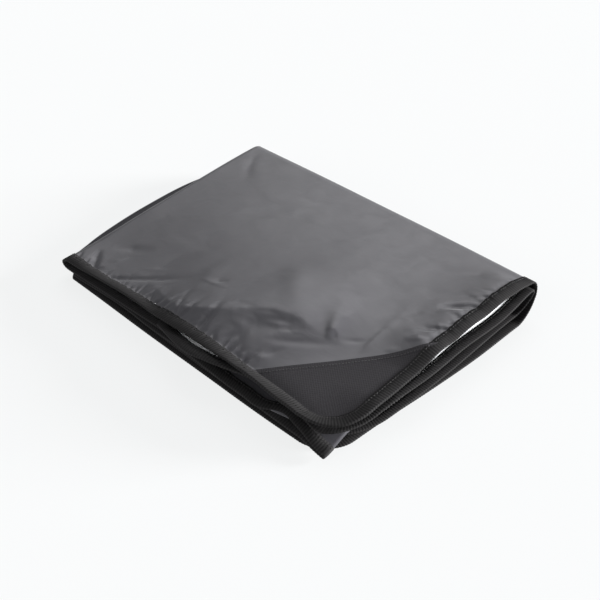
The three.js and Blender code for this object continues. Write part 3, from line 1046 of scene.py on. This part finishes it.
@dataclass
class CoverSheet:
    """The folded sheet: a thin closed body, dark outside and silver inside.

    The outside has the finer grid; the inside has every second line of it.

    Attributes:
        u_steps: Steps of the grid on each run along X.
        v_steps: Steps of the grid on the upper half, the back turn and the lower half.
        matt_half, matt_fade: Half width of the matt bands along the side turns, and the distance over
            which they fade.
        matt_begin: Distance beyond the back turn over which they set in.
    """

    fold: Fold
    origin: Origin
    thickness: float = 0.8
    u_steps: tuple[int, ...] = (250, 12, 16, 6, 16, 6, 30)
    v_steps: tuple[int, ...] = (184, 16, 36)
    matt_half: float = 22.0
    matt_fade: float = 10.0
    matt_begin: float = 12.0
    flat_size: Row = (1.30, 0.53)
    flat_area: float = 0.685

    def lines(self) -> list[Array]:
        """Returns the flat places of the grid's lines along u and along v."""
        runs = [run.flat for run in self.fold.runs]
        halves = [self.fold.panel_y, self.fold.back_turn_flat, self.fold.panel_y]
        found = []
        for flats, steps in ((runs, self.u_steps), (halves, self.v_steps)):
            ends = np.concatenate([[0.0], np.cumsum(flats)])
            spans = [np.linspace(a, b, n, endpoint=False) for a, b, n in zip(ends, ends[1:], steps)]
            found.append(np.append(np.concatenate(spans), ends[-1]))
        return found

    def edge_faces(self, fine: Array, coarse: Array) -> list[Face]:
        """Joins an edge of the outside's grid to the inside's, which has every second point."""
        faces = []
        for k in range(len(coarse) - 1):
            a, b, c = (int(i) for i in fine[2 * k : 2 * k + 3])
            low, high = int(coarse[k]), int(coarse[k + 1])
            faces += [(low, b, a), (low, high, b), (high, c, b)]
        return faces

    def fold_edge(self, u: Array, v: Array) -> Array:
        """Returns 1 along the lower half's side turns, where the cloth is made matt, else 0."""
        flats = [run.flat for run in self.fold.runs]
        turns = (flats[0] + flats[1] / 2, sum(flats[:3]) + flats[3] / 2)
        off = np.min([np.abs(u - turn) for turn in turns], axis=0)
        near = 1 - smooth((off - self.matt_half) / self.matt_fade)
        return near * smooth((v - self.fold.panel_y - self.fold.back_turn_flat) / self.matt_begin)

    def build(self, outside: Material, inside: Material) -> Piece:
        """Builds the sheet.

        Args:
            outside: Material of the dark side.
            inside: Material of the silver side.

        Returns:
            The piece.
        """
        u, v = self.lines()
        places = np.stack(np.meshgrid(u, v, indexing="ij"), axis=-1)
        middle = self.fold.surface(places[..., 0], places[..., 1])
        along_u = np.gradient(middle, axis=0)
        along_v = np.gradient(middle, axis=1)
        normal = np.cross(along_v, along_u)
        normal /= np.linalg.norm(normal, axis=-1, keepdims=True)
        half = self.thickness / 2
        face = middle + half * normal
        back = (middle - half * normal)[::2, ::2]
        top = np.arange(face.shape[0] * face.shape[1]).reshape(face.shape[:2])
        under = top.size + np.arange(back.shape[0] * back.shape[1]).reshape(back.shape[:2])
        faces = grid_faces(top)
        dark_faces = len(faces)
        faces += grid_faces(under, flip=True)
        silver_faces = len(faces) - dark_faces
        for fine, coarse in (
            (top[:, 0][::-1], under[:, 0][::-1]),
            (top[:, -1], under[:, -1]),
            (top[0], under[0]),
            (top[-1][::-1], under[-1][::-1]),
        ):
            faces += self.edge_faces(fine, coarse)
        slots = np.zeros(len(faces))
        slots[dark_faces : dark_faces + silver_faces] = 1
        points = np.concatenate([face.reshape(-1, 3), back.reshape(-1, 3)])
        flat = np.concatenate([places.reshape(-1, 2), places[::2, ::2].reshape(-1, 2)]) * MM
        in_frame = self.origin.to_frame(points)
        piece = make_object("cover_sheet_cloth", in_frame, faces, [outside, inside], slots, flat)
        add_values(piece, "fold_edge", self.fold_edge(flat[:, 0] / MM, flat[:, 1] / MM))
        return piece


@dataclass
class PatchPlan:
    """Where the patch lies on the top layer, as distances from its two hems.

    Attributes:
        along_x, along_y: How far its seam reaches along each hem, at the inner edge of the tape.
        inset: Distance of the tape's inner edge from the hems.
        bow: How far the seam bows away from the corner at its middle.
    """

    along_x: float = 101.0
    along_y: float = 124.0
    inset: float = 11.9
    bow: float = -1.0

    def reach(self, edge: float) -> tuple[float, float]:
        """Returns how far the seam reaches along each hem where it is an edge's distance from it."""
        steep = (self.along_y - self.inset) / (self.along_x - self.inset)
        further = self.inset - edge
        return self.along_x + further / steep, self.along_y + further * steep

    def seam(self, t: Array, edge: float) -> tuple[Array, Array]:
        """Returns the seam's distances from the two hems at t from 0 to 1, ending at an edge."""
        reach_x, reach_y = self.reach(edge)
        bow = self.bow * np.sin(math.pi * t)
        return edge + (reach_x - edge) * (1 - t) + bow, edge + (reach_y - edge) * t + bow

    def covers(self, dx: Array, dy: Array, soft: float) -> Array:
        """Returns 1 where the patch covers a place at distances dx, dy from the hems, 0 outside."""
        reach_x, reach_y = self.reach(0.0)
        inside = 1 - dx / reach_x - dy / reach_y
        return smooth(inside * min(reach_x, reach_y) / soft)


@dataclass
class HemBinding:
    """Ribbed tape folded over the hem all the way round, with a row of stitches.

    Attributes:
        near, far: Distances of the tape's inner and outer face from the middle of the cloth.
        stand_out, inner_out: How far its outer and inner face go out past the hem.
        taper: How much nearer the outer face is at the tape's inner edge.
        turn_start: Drop and stand-out where the outer face begins to turn round the hem.
        turn_middle: Drop, and distance short of the full stand-out, half way round.
        edge_rib: Share of the rib height at the tape's inner edge.
        lift_soft: Distance over which the tape rises onto the patch.
    """

    fold: Fold
    patch: PatchPlan
    near: float = 0.45
    far: float = 1.1
    stand_out: float = 0.8
    inner_out: float = 0.12
    taper: float = 0.1
    turn_start: Row = (0.08, 0.15)
    turn_middle: Row = (0.5, 0.12)
    edge_rib: float = 0.6
    rib_pitch: float = 2.6
    rib_height: float = 0.11
    steps_per_rib: int = 4
    patch_lift: float = 0.55
    lift_soft: float = 6.0
    stitch_pitch: float = 3.2
    stitch_inset: float = 2.2
    stitch_size: Row = (2.3, 0.5, 0.36)

    def ring(self, step: float = 0.5) -> tuple[Array, Array]:
        """Returns the flat places round the hem, evenly spaced along the real hem.

        Args:
            step: Spacing of the first, even flat walk.

        Returns:
            Rows of (u, v, side) for each station, and the distance along the hem.
        """
        width, length = self.fold.width, self.fold.length
        walks = []
        for side, span in enumerate((width, length, width, length)):
            t = np.arange(0.0, span, step)
            far_u, far_v = np.full(t.shape, width), np.full(t.shape, length)
            zero = np.zeros(t.shape)
            u, v = ((t, zero), (far_u, t), (width - t, far_v), (zero, length - t))[side]
            walks.append(np.stack([u, v, np.full(t.shape, float(side))], axis=-1))
        walk = np.concatenate(walks)
        closed = np.concatenate([walk, walk[:1]])
        points = self.fold.surface(closed[:, 0], closed[:, 1])
        walked = np.concatenate([[0.0], np.cumsum(np.linalg.norm(np.diff(points, axis=0), axis=-1))])
        # The pitch is evened out so that whole ribs go round.
        ribs = round(walked[-1] / self.rib_pitch)
        self.rib_pitch = walked[-1] / ribs
        along = np.arange(ribs * self.steps_per_rib) * self.rib_pitch / self.steps_per_rib
        index = np.interp(along, walked, np.arange(len(walked)))
        k = np.floor(index).astype(int)
        f = (index - k)[:, None]
        after = closed[np.minimum(k + 1, len(closed) - 1)]
        same_side = (after[:, 2] == closed[k, 2])[:, None]
        stations = np.where(same_side, lerp(closed[k], after, f), closed[k])
        return stations, along

    def inset(self, stations: Array, distance: float) -> tuple[Array, Array]:
        """Returns the flat places a distance inwards from the hem's stations."""
        width, length = self.fold.width, self.fold.length
        u, v, side = stations.T
        upper, outer = v < length / 2, u < width / 2
        dx, dy = np.minimum(u, width - u), np.minimum(v, length - v)
        first, second = self.fold.corner[Layer.OUTER], self.fold.corner[Layer.SECOND]
        sizes = [
            np.where(
                outer,
                np.where(upper, first.up[k], first.down[k]),
                np.where(upper, second.up[k], second.down[k]),
            )
            for k in (0, 1)
        ]
        p, q = 1 - dx / sizes[0], 1 - dy / sizes[1]
        corner = (p > 0) & (q > 0)
        runs_u = (side == 0) | (side == 2)
        round_x, round_y = (
            size * (1 - share * (1 - distance / size)) for size, share in zip(sizes, (p, q))
        )
        in_x = np.where(corner, round_x, np.where(runs_u, dx, distance))
        in_y = np.where(corner, round_y, np.where(runs_u, distance, dy))
        return np.where(outer, in_x, width - in_x), np.where(upper, in_y, length - in_y)

    def lift(self, u: Array, v: Array) -> Array:
        """Returns how far the tape's upper leg is raised over the edge of the patch."""
        return self.patch_lift * self.patch.covers(u, v, soft=self.lift_soft)

    def tape_points(self, stations: Array) -> tuple[Array, Array]:
        """Returns the tape's rings of points and, for each place round a ring, its share of rib."""
        width = self.fold.tape_w
        rows = {d: self.inset(stations, d) for d in (0.0, width / 2, width)}
        at = {d: self.fold.surface(*place) for d, place in rows.items()}
        up = {d: self.fold.normal(*place) for d, place in rows.items()}
        over = {d: self.lift(*place) for d, place in rows.items()}
        out = at[0.0] - at[width / 2]
        out -= up[0.0] * (out * up[0.0]).sum(axis=-1, keepdims=True)
        out /= np.linalg.norm(out, axis=-1, keepdims=True)

        def point(d: float, by: float, beyond: float) -> Array:
            """Returns the points at a distance inwards, raised by a height and moved outwards."""
            raised = by + (over[d] if by > 0 else 0.0)
            return at[d] + up[d] * np.broadcast_to(raised, out.shape[:1])[:, None] + out * beyond

        (start_drop, start_out), (middle_drop, short) = self.turn_start, self.turn_middle
        upper = [
            (width, self.far - self.taper, 0.0, self.edge_rib),
            (width / 2, self.far, 0.0, 1.0),
            (0.0, self.far - start_drop, start_out, 1.0),
            (0.0, self.far - middle_drop, self.stand_out - short, 1.0),
        ]
        lower = [(d, -by, beyond, share) for d, by, beyond, share in reversed(upper)]
        inner = [
            (width, -self.near, 0.0, 0.0),
            (0.0, -self.near, self.inner_out, 0.0),
            (0.0, self.near, self.inner_out, 0.0),
            (width, self.near, 0.0, 0.0),
        ]
        profile = upper + [(0.0, 0.0, self.stand_out, 1.0)] + lower + inner
        rings = np.stack([point(*place) for *place, _ in profile], axis=1)
        return rings, np.array([share for *_, share in profile])

    def rib_tree(self, material: Material) -> NodeTree:
        """Returns the tree that raises the ribs out of the plain tape.

        Args:
            material: Material of the tape.

        Returns:
            The tree, with inputs for the pitch and the height of the ribs.
        """
        tree, given = new_geometry_tree("tape_ribs", {"Rib pitch": 0.0, "Rib height": 0.0})
        along, share = tree.named("along"), tree.named("rib_share")
        turns = tree.math("DIVIDE", along, given.outputs["Rib pitch"])
        wave = tree.math("SINE", tree.math("MULTIPLY", turns, math.tau))
        tall = tree.math("MULTIPLY", tree.math("MULTIPLY", wave, share), given.outputs["Rib height"])
        normal = tree.add("GeometryNodeInputNormal").outputs[0]
        move = tree.add("ShaderNodeVectorMath", (0, normal), ("Scale", tall), operation="SCALE")
        moved = tree.add(
            "GeometryNodeSetPosition",
            ("Geometry", given.outputs["Geometry"]),
            ("Offset", move.outputs[0]),
        )
        # Stores the crest share of each rib, which the tape's material uses for a painted highlight on
        # the crests and painted shade in the grooves.
        lit_crest = tree.add(
            "GeometryNodeStoreNamedAttribute",
            ("Geometry", moved.outputs[0]),
            ("Name", "rib"),
            ("Value", tree.math("MULTIPLY_ADD", wave, 0.5, 0.5)),
            data_type="FLOAT",
            domain="POINT",
        )
        tree.close(lit_crest.outputs[0], material)
        return tree

    def build(self, origin: Origin, material: Material) -> Piece:
        """Builds the tape.

        Args:
            origin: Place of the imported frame.
            material: Material of the tape.

        Returns:
            The piece.
        """
        stations, along = self.ring()
        rings, share = self.tape_points(stations)
        count, around = rings.shape[:2]
        index = np.arange(count * around).reshape(count, around)
        index = np.concatenate([index, index[:1]])
        index = np.concatenate([index, index[:, :1]], axis=1)
        points = origin.to_frame(rings.reshape(-1, 3))
        piece = make_object("hem_binding_tape", points, grid_faces(index, flip=True), [material])
        add_values(piece, "along", np.repeat(along, around) * MM)
        add_values(piece, "rib_share", np.tile(share, count))
        sizes = {"Rib pitch": self.rib_pitch * MM, "Rib height": self.rib_height * MM}
        run_geometry_tree(piece, self.rib_tree(material), sizes)
        return piece

    def stitch_line(self) -> tuple[Array, Array, Array]:
        """Returns the places, directions and normals of the stitches on both legs of the tape."""
        stations, along = self.ring()
        step = max(1, round(self.stitch_pitch / (along[1] - along[0])))
        inwards = self.fold.tape_w - self.stitch_inset
        u, v = self.inset(stations[::step], inwards)
        at, up = self.fold.surface(u, v), self.fold.normal(u, v)
        heading = np.roll(at, -1, axis=0) - np.roll(at, 1, axis=0)
        high = self.far + self.lift(u, v)[:, None]
        places = np.concatenate([at + up * high, at - up * self.far])
        return places, np.concatenate([heading, heading]), np.concatenate([up, -up])


STITCH_SIZES = ("Stitch length", "Stitch width", "Stitch height")
# A bead one unit across, which the sizes stretch into a stitch.
BEAD = (("Segments", 8), ("Rings", 4), ("Radius", 0.5))


def stitch_tree(material: Material) -> NodeTree:
    """Makes the tree that sews a stitch on each point.

    Args:
        material: Material of the thread.

    Returns:
        The tree, with inputs for a stitch's length, width and height.
    """
    tree, given = new_geometry_tree("stitches_" + material.name, dict.fromkeys(STITCH_SIZES, 0.0))
    bead = tree.add("GeometryNodeMeshUVSphere", *BEAD)
    sides = ((k, given.outputs[name]) for k, name in enumerate(STITCH_SIZES))
    size = tree.add("ShaderNodeCombineXYZ", *sides)
    turn = tree.named("turn", "FLOAT_VECTOR")
    points = tree.add("GeometryNodeMeshToPoints", ("Mesh", given.outputs["Geometry"]))
    rotation = tree.add("FunctionNodeEulerToRotation", (0, turn))
    sewn = tree.add(
        "GeometryNodeInstanceOnPoints",
        ("Points", points.outputs[0]),
        ("Instance", bead.outputs["Mesh"]),
        ("Rotation", rotation.outputs[0]),
        ("Scale", size.outputs[0]),
    )
    tree.close(sewn.outputs[0], material, soft=True)
    return tree


def sew(
    name: str,
    places: Array,
    headings: Array,
    normals: Array,
    size: Row,
    material: Material,
) -> Piece:
    """Sews a row of stitches.

    Args:
        name: Name of the piece.
        places: Middle of each stitch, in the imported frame.
        headings: Direction that each stitch runs in.
        normals: Normal of the cloth under each stitch.
        size: Length, width and height of a stitch, in millimetres.
        material: Material of the thread.

    Returns:
        The piece.
    """
    turns = []
    for heading, normal in zip(headings, normals):
        z = Vector(normal).normalized()
        x = Vector(heading)
        x = (x - z * x.dot(z)).normalized()
        y = z.cross(x)
        turns.append(Matrix((x, y, z)).transposed().to_euler())
    piece = make_object(name, places, [], [material])
    add_values(piece, "turn", np.array([tuple(turn) for turn in turns]))
    sizes = {label: side * MM for label, side in zip(STITCH_SIZES, size)}
    run_geometry_tree(piece, stitch_tree(material), sizes)
    return piece


@dataclass
class CornerPatch:
    """The patch over the front corner, its long edge turned under and sewn down.

    Attributes:
        low: Distance of its under face from the middle of the cloth.
        under_tape: Distance of its hidden edges from the hems.
        turned_fade: Distance over which the turned-under edge ends.
        edge_run, edge_drop: Start and length of the rounded seam edge, and its drop.
        crowding: Draws the lines of the grid towards the seam.
        span, stitch_span: Part of the seam that the patch and the stitches take up.
        stitch_share: Share of the turned edge's rise that the stitches are raised by.
    """

    fold: Fold
    plan: PatchPlan
    low: float = 0.42
    thickness: float = 0.45
    under_tape: float = 6.0
    turned_width: float = 5.0
    turned_rise: float = 0.5
    turned_fade: float = 1.6
    edge_run: Row = (0.1, 0.7)
    edge_drop: float = 0.2
    across_steps: int = 150
    inward_steps: int = 56
    crowding: float = 1.25
    span: Row = (0.003, 0.997)
    stitch_span: Row = (0.06, 0.94)
    stitch_from_seam: float = 4.4
    stitch_pitch: float = 3.0
    stitch_size: Row = (2.3, 0.55, 0.45)
    stitch_share: float = 0.75

    def flat_places(self) -> tuple[Array, Array, Array]:
        """Returns distances from the two hems over the patch, and the distance from its seam."""
        edge = self.under_tape
        t = np.linspace(*self.span, self.across_steps + 1)[:, None]
        f = np.linspace(0.0, 1.0, self.inward_steps + 1)[None, :] ** self.crowding
        seam_x, seam_y = self.plan.seam(t, edge)
        reach_x, reach_y = self.plan.reach(edge)
        hem_x = np.where(t < 0.5, lerp(reach_x, edge, 2 * t), edge)
        hem_y = np.where(t < 0.5, edge, lerp(edge, reach_y, 2 * t - 1))
        dx, dy = lerp(seam_x, hem_x, f), lerp(seam_y, hem_y, f)
        from_seam = np.hypot(dx - seam_x, dy - seam_y)
        return dx, dy, from_seam

    def top_rise(self, from_seam: Array) -> Array:
        """Returns the extra rise of the top face near the turned-under seam edge."""
        past = from_seam - self.turned_width + self.turned_fade / 2
        turned = 1 - smooth(past / self.turned_fade)
        edge = smooth((from_seam + self.edge_run[0]) / self.edge_run[1])
        return self.turned_rise * turned * edge - self.edge_drop * (1 - edge)

    def build(self, origin: Origin, material: Material) -> Piece:
        """Builds the patch.

        Args:
            origin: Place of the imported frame.
            material: Material of the patch.

        Returns:
            The piece.
        """
        dx, dy, from_seam = self.flat_places()
        at, up = self.fold.surface(dx, dy), self.fold.normal(dx, dy)
        high = self.low + self.thickness + self.top_rise(from_seam)
        face, back = at + up * high[..., None], at + up * self.low
        top = np.arange(face.shape[0] * face.shape[1]).reshape(face.shape[:2])
        under = top + top.size
        faces = grid_faces(top) + grid_faces(under, flip=True)
        for k, flip in ((0, False), (-1, True)):
            faces += grid_faces(np.stack([top[:, k], under[:, k]], axis=1), flip=not flip)
            faces += grid_faces(np.stack([top[k], under[k]], axis=1), flip=flip)
        seam = np.array([-self.plan.along_x, self.plan.along_y])
        seam /= np.linalg.norm(seam)
        places = np.stack([dx * seam[0] + dy * seam[1], -dx * seam[1] + dy * seam[0]], axis=-1)
        flat = places.reshape(-1, 2) * MM
        points = np.concatenate([face.reshape(-1, 3), back.reshape(-1, 3)])
        in_frame, uv = origin.to_frame(points), np.concatenate([flat, flat])
        return make_object("corner_patch_weave", in_frame, faces, [material], uv=uv)

    def stitch_line(self) -> tuple[Array, Array, Array]:
        """Returns the places, directions and normals of the stitches along the turned edge."""
        span = math.hypot(self.plan.along_x, self.plan.along_y)
        count = int(span / self.stitch_pitch)
        t = np.linspace(*self.stitch_span, count)
        dx, dy = self.plan.seam(t, self.under_tape)
        inward = np.array([self.plan.along_y, self.plan.along_x]) / span * self.stitch_from_seam
        dx, dy = dx - inward[0], dy - inward[1]
        at, up = self.fold.surface(dx, dy), self.fold.normal(dx, dy)
        heading = np.gradient(at, axis=0)
        high = self.low + self.thickness + self.stitch_share * self.turned_rise
        return at + up * high, heading, up


def direction(azimuth: float, elevation: float, from_y: float) -> Vector:
    """Returns a unit direction.

    Args:
        azimuth: Angle from the Y axis towards +X, in degrees.
        elevation: Angle above the floor, in degrees.
        from_y: End of the Y axis that the azimuth starts from, 1 or -1.

    Returns:
        The direction.
    """
    around, up = math.radians(azimuth), math.radians(elevation)
    level = from_y * math.cos(around) * math.cos(up)
    return Vector((math.sin(around) * math.cos(up), level, math.sin(up)))


@dataclass(frozen=True)
class BroadLight:
    """A broad, soft light far away: its place in the sky, its spread and its strength.

    Attributes:
        name: Name of the light.
        azimuth: Angle from +Y towards +X, in degrees.
        elevation: Angle above the floor, in degrees.
        spread: Angle that the light fills, in degrees.
        strength: Light that falls on a surface facing it.
    """

    name: str
    azimuth: float
    elevation: float
    spread: float
    strength: float

    def hang(self) -> None:
        """Adds the light to the scene."""
        sun = bpy.data.lights.new(self.name, "SUN")
        sun.energy = self.strength
        sun.angle = math.radians(self.spread)
        lamp = bpy.data.objects.new(self.name, sun)
        towards = direction(self.azimuth, self.elevation, 1.0)
        lamp.rotation_euler = towards.to_track_quat("Z", "Y").to_euler()
        bpy.context.scene.collection.objects.link(lamp)


BACK_LIGHT = BroadLight("back_light", azimuth=-34, elevation=46, spread=42, strength=1.04)
SIDE_LIGHT = BroadLight("side_light", azimuth=38, elevation=9, spread=20, strength=13.0)
FRONT_LIGHT = BroadLight("front_light", azimuth=190, elevation=25, spread=40, strength=1.2)


@dataclass
class Studio:
    """Pale floor, soft light and a camera at the photograph's angle."""

    azimuth: float = 44.6
    elevation: float = 36.42
    distance: float = 1042.94
    target: Row = (23.45, -12.63, 15.0)
    focal_share: float = 1181.86 / 600
    sensor: float = 36.0
    sky: float = 0.34
    floor_glow: float = 0.81
    floor_half: float = 8.0
    floor_colour: Row = (0.11, 0.111, 0.1125)
    glow_colour: Row = (0.99, 1.0, 1.0)
    sky_colour: Row = (0.97, 0.985, 1.0)
    clip: Row = (0.01, 50.0)

    def floor(self) -> None:
        """Lays a plain pale floor, lit from below like a photographer's table."""
        finish = {
            "Roughness": 0.9,
            "Specular IOR Level": 0.1,
            "Base Color": (*self.floor_colour, 1.0),
            "Emission Color": (*self.glow_colour, 1.0),
            "Emission Strength": self.floor_glow,
        }
        material, _, _ = new_shader("pale_floor", finish)
        half = self.floor_half
        points = np.array([(-half, -half, 0), (half, -half, 0), (half, half, 0), (-half, half, 0)])
        make_object("floor", points.astype(float), [(0, 1, 2, 3)], [material])

    def light(self) -> None:
        """Sets a pale sky and the broad, soft lights."""
        world = bpy.data.worlds.new("pale_sky")
        world.use_nodes = True
        background = world.node_tree.nodes["Background"]
        background.inputs["Color"].default_value = (*self.sky_colour, 1.0)
        background.inputs["Strength"].default_value = self.sky
        bpy.context.scene.world = world
        for lamp in (BACK_LIGHT, SIDE_LIGHT, FRONT_LIGHT):
            lamp.hang()

    def camera(self, origin: Origin) -> None:
        """Sets the camera where the photograph was taken from."""
        back = direction(self.azimuth, self.elevation, -1.0)
        target = Vector(origin.to_frame(np.array(self.target)))
        lens = bpy.data.cameras.new("camera")
        lens.sensor_width = self.sensor
        lens.lens = self.focal_share * self.sensor
        lens.clip_start, lens.clip_end = self.clip
        camera = bpy.data.objects.new("camera", lens)
        camera.location = target + back * self.distance * MM
        camera.rotation_euler = back.to_track_quat("Z", "Y").to_euler()
        bpy.context.scene.collection.objects.link(camera)
        bpy.context.scene.camera = camera
        bpy.context.scene.view_settings.view_transform = "Standard"


SHOULDER = Shoulder(
    from_x=-90,
    to_x=120,
    crest_y=(-93, -101, -108, -94, -71, -57, -53, -44),
    height=(0, 3.2, 7.8, 10.0, 11.5, 11.0, 4.6, 0),
    front=(24, 20, 19, 33, 54, 66, 50, 34),
    behind=(60, 70, 85, 90, 90, 80, 70, 60),
    soft=2.0,
)
TOP_CREASES = (
    # Trough behind the turned-up front hem at the patch.
    Crease(((56, -129, 10, 0.0), (84, -131, 14, 3.0), (138, -133, 14, 3.4), (168, -131, 10, 0.0))),
    # Dent and fold in front of the crest, and streaks before the patch.
    Crease(((34, -92, 6, 0.0), (44, -84, 9, 1.2), (64, -67, 9, 1.4), (75, -58, 5, 0.0))),
    Crease(((9, -118, 3, 0.6), (6, -103, 4, 1.1), (3, -88, 3, 0.0)), lean=0.3),
    Crease(((-10, -119, 3, 0.4), (-13, -108, 3.5, 0.8), (-17, -98, 3, 0.0)), lean=0.3),
    Crease(((58, -92, 3, 0.0), (74, -81, 3.5, 0.55), (92, -66, 4, 0.45), (112, -50, 3, 0.0))),
    Crease(((104, -49, 2, 0.0), (114, -40, 2.5, 0.6), (124, -30, 3, 0.0))),
    # Long creases from the left of the front hem.
    Crease(((-120, -119, 2, 0.3), (-108, -110, 3, 1.6), (-77, -89, 4, 1.2), (-50, -70, 7, 0.0))),
    Crease(((-150, -84, 4, 0.0), (-134, -73, 5, 1.0), (-116, -60, 6, 0.0))),
    Crease(((-158, -92, 3, 0.0), (-150, -103, 4, 1.2), (-139, -115, 3, 0.8))),
    Crease(((-40, -28, 8, 0.0), (-44, -54, 8, -0.6), (-36, -84, 7, 0.0))),
    # Soft ridges that fan out from above the patch.
    Crease(((2, 5, 12, 0.0), (24, -17, 13, -0.9), (42, -36, 12, -0.8), (58, -48, 9, 0.0))),
    Crease(((97, -56, 2.5, 0.0), (93, -45, 6, -2.2), (85, -28, 10, -2.1), (74, 2, 13, 0.0)), lean=-0.2),
    Crease(((127, -48, 1.5, 0.0), (125, -34, 3.0, -0.5), (120, 10, 5, -0.4), (112, 46, 8, 0.0))),
    # Creases towards the back right corner and crumples at the right hem.
    Crease(((84, 72, 8, 0.0), (104, 84, 9, 0.8), (132, 101, 9, 1.3), (146, 110, 3, 0.0))),
    Crease(((136, 38, 3, 0.0), (146, 46, 4.0, 2.2), (158, 57, 4.0, 1.6), (166, 62, 3, 0.0))),
    Crease(((140, 30, 3, 0.0), (152, 39, 4, -1.0), (166, 50, 3, 0.0))),
    Crease(((143, -14, 2.5, 0.0), (152, -7, 3, -1.2), (161, -2, 2.5, 0.0))),
    Crease(((139, 1, 2.5, 0.0), (150, 7, 3, 1.2), (162, 14, 3, 0.0))),
    Crease(((143, 12, 2.5, 0.0), (154, 18, 3, -1.1), (163, 24, 3, 0.0))),
    Crease(((-170, 122, 4, 0.0), (-152, 92, 5, 0.5), (-130, 66, 7, 0.0))),
    Crease(((-132, -64, 14, 0.0), (-90, -20, 18, 0.4), (-60, 20, 18, 0.0))),
)
CRUMPLES = (
    Crumple((-162, -116), (-55, -80), 9, 45, 24, (14, 40), (2.2, 4.6), (0.12, 0.4), seed=3),
    Crumple((-30, -112), (92, -64), 18, 38, 40, (14, 40), (2.0, 4.4), (0.15, 0.6), seed=5),
    Crumple((122, -38), (166, 100), 12, 32, 34, (8, 28), (2.0, 4.0), (0.1, 0.45), seed=8),
    Crumple((-155, -60), (150, 108), 28, 48, 45, (30, 90), (4.0, 9.0), (0.08, 0.24), seed=29),
)
# Short puckers at the tape, then longer folds that the sewing draws further in.
FRONT_GATHERS = (
    Gathers(-162, 70, (3.5, 8.0), (1.0, 2.4), (3.0, 10.0), (0.3, 1.4), skew=0.6, seed=11),
    Gathers(-48, 66, (6.0, 13.0), (1.8, 3.8), (12.0, 26.0), (0.4, 1.6), skew=0.5, seed=17),
)
RIGHT_GATHERS = (
    Gathers(-4, 118, (4.5, 10.0), (1.2, 2.6), (3.0, 8.0), (0.2, 0.7), skew=0.6, seed=23),
    Gathers(-2, 92, (6.0, 12.0), (1.8, 3.4), (10.0, 24.0), (0.3, 1.0), skew=0.7, seed=31),
)
DARK_THREAD = Thread("dark_thread", (0.030, 0.029, 0.030))
GREY_THREAD = Thread("grey_thread", (0.05, 0.048, 0.05))


def hand_in(piece: Piece, node: Optional[str] = None) -> None:
    """Hangs a finished piece on the body it rides on, hides the solid that it stands for, and logs its
    faces.
    """
    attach(piece, BODY)
    if node:
        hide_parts(node)
    LOG.info("%s: %d faces", piece.name, len(piece.data.polygons))


def main() -> None:
    """Builds and dresses the cover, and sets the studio."""
    logging.basicConfig(level=logging.INFO, format="%(name)s: %(message)s")
    crumples = tuple(crease for crumple in CRUMPLES for crease in crumple.creases())
    fold = Fold(
        creases=TOP_CREASES + crumples,
        shoulder=SHOULDER,
        front_gathers=FRONT_GATHERS,
        right_gathers=RIGHT_GATHERS,
    )
    plan = PatchPlan()
    binding = HemBinding(fold, plan)
    origin = Origin()
    sheet = CoverSheet(fold, origin)
    cloth = sheet.build(CoatedCloth().material(), SilverCoating().material())
    tape = binding.build(origin, RibbedTape().material())
    patch_maker = CornerPatch(fold, plan)
    patch = patch_maker.build(origin, GridWeave().material())
    sewn = []
    for name, maker, thread in (
        ("hem_stitches", binding, DARK_THREAD),
        ("patch_seam_stitches", patch_maker, GREY_THREAD),
    ):
        places, headings, normals = maker.stitch_line()
        places = origin.to_frame(places)
        material = thread.material()
        sewn.append(sew(name, places, headings, normals, maker.stitch_size, material))
    hem_stitches, seam_stitches = sewn

    hand_in(cloth, "cover_sheet")
    hand_in(tape, "hem_binding")
    hand_in(patch, "corner_patch")
    hand_in(hem_stitches)
    hand_in(seam_stitches)

    studio = Studio()
    studio.floor()
    studio.light()
    studio.camera(origin)


if __name__ == "__main__":
    main()
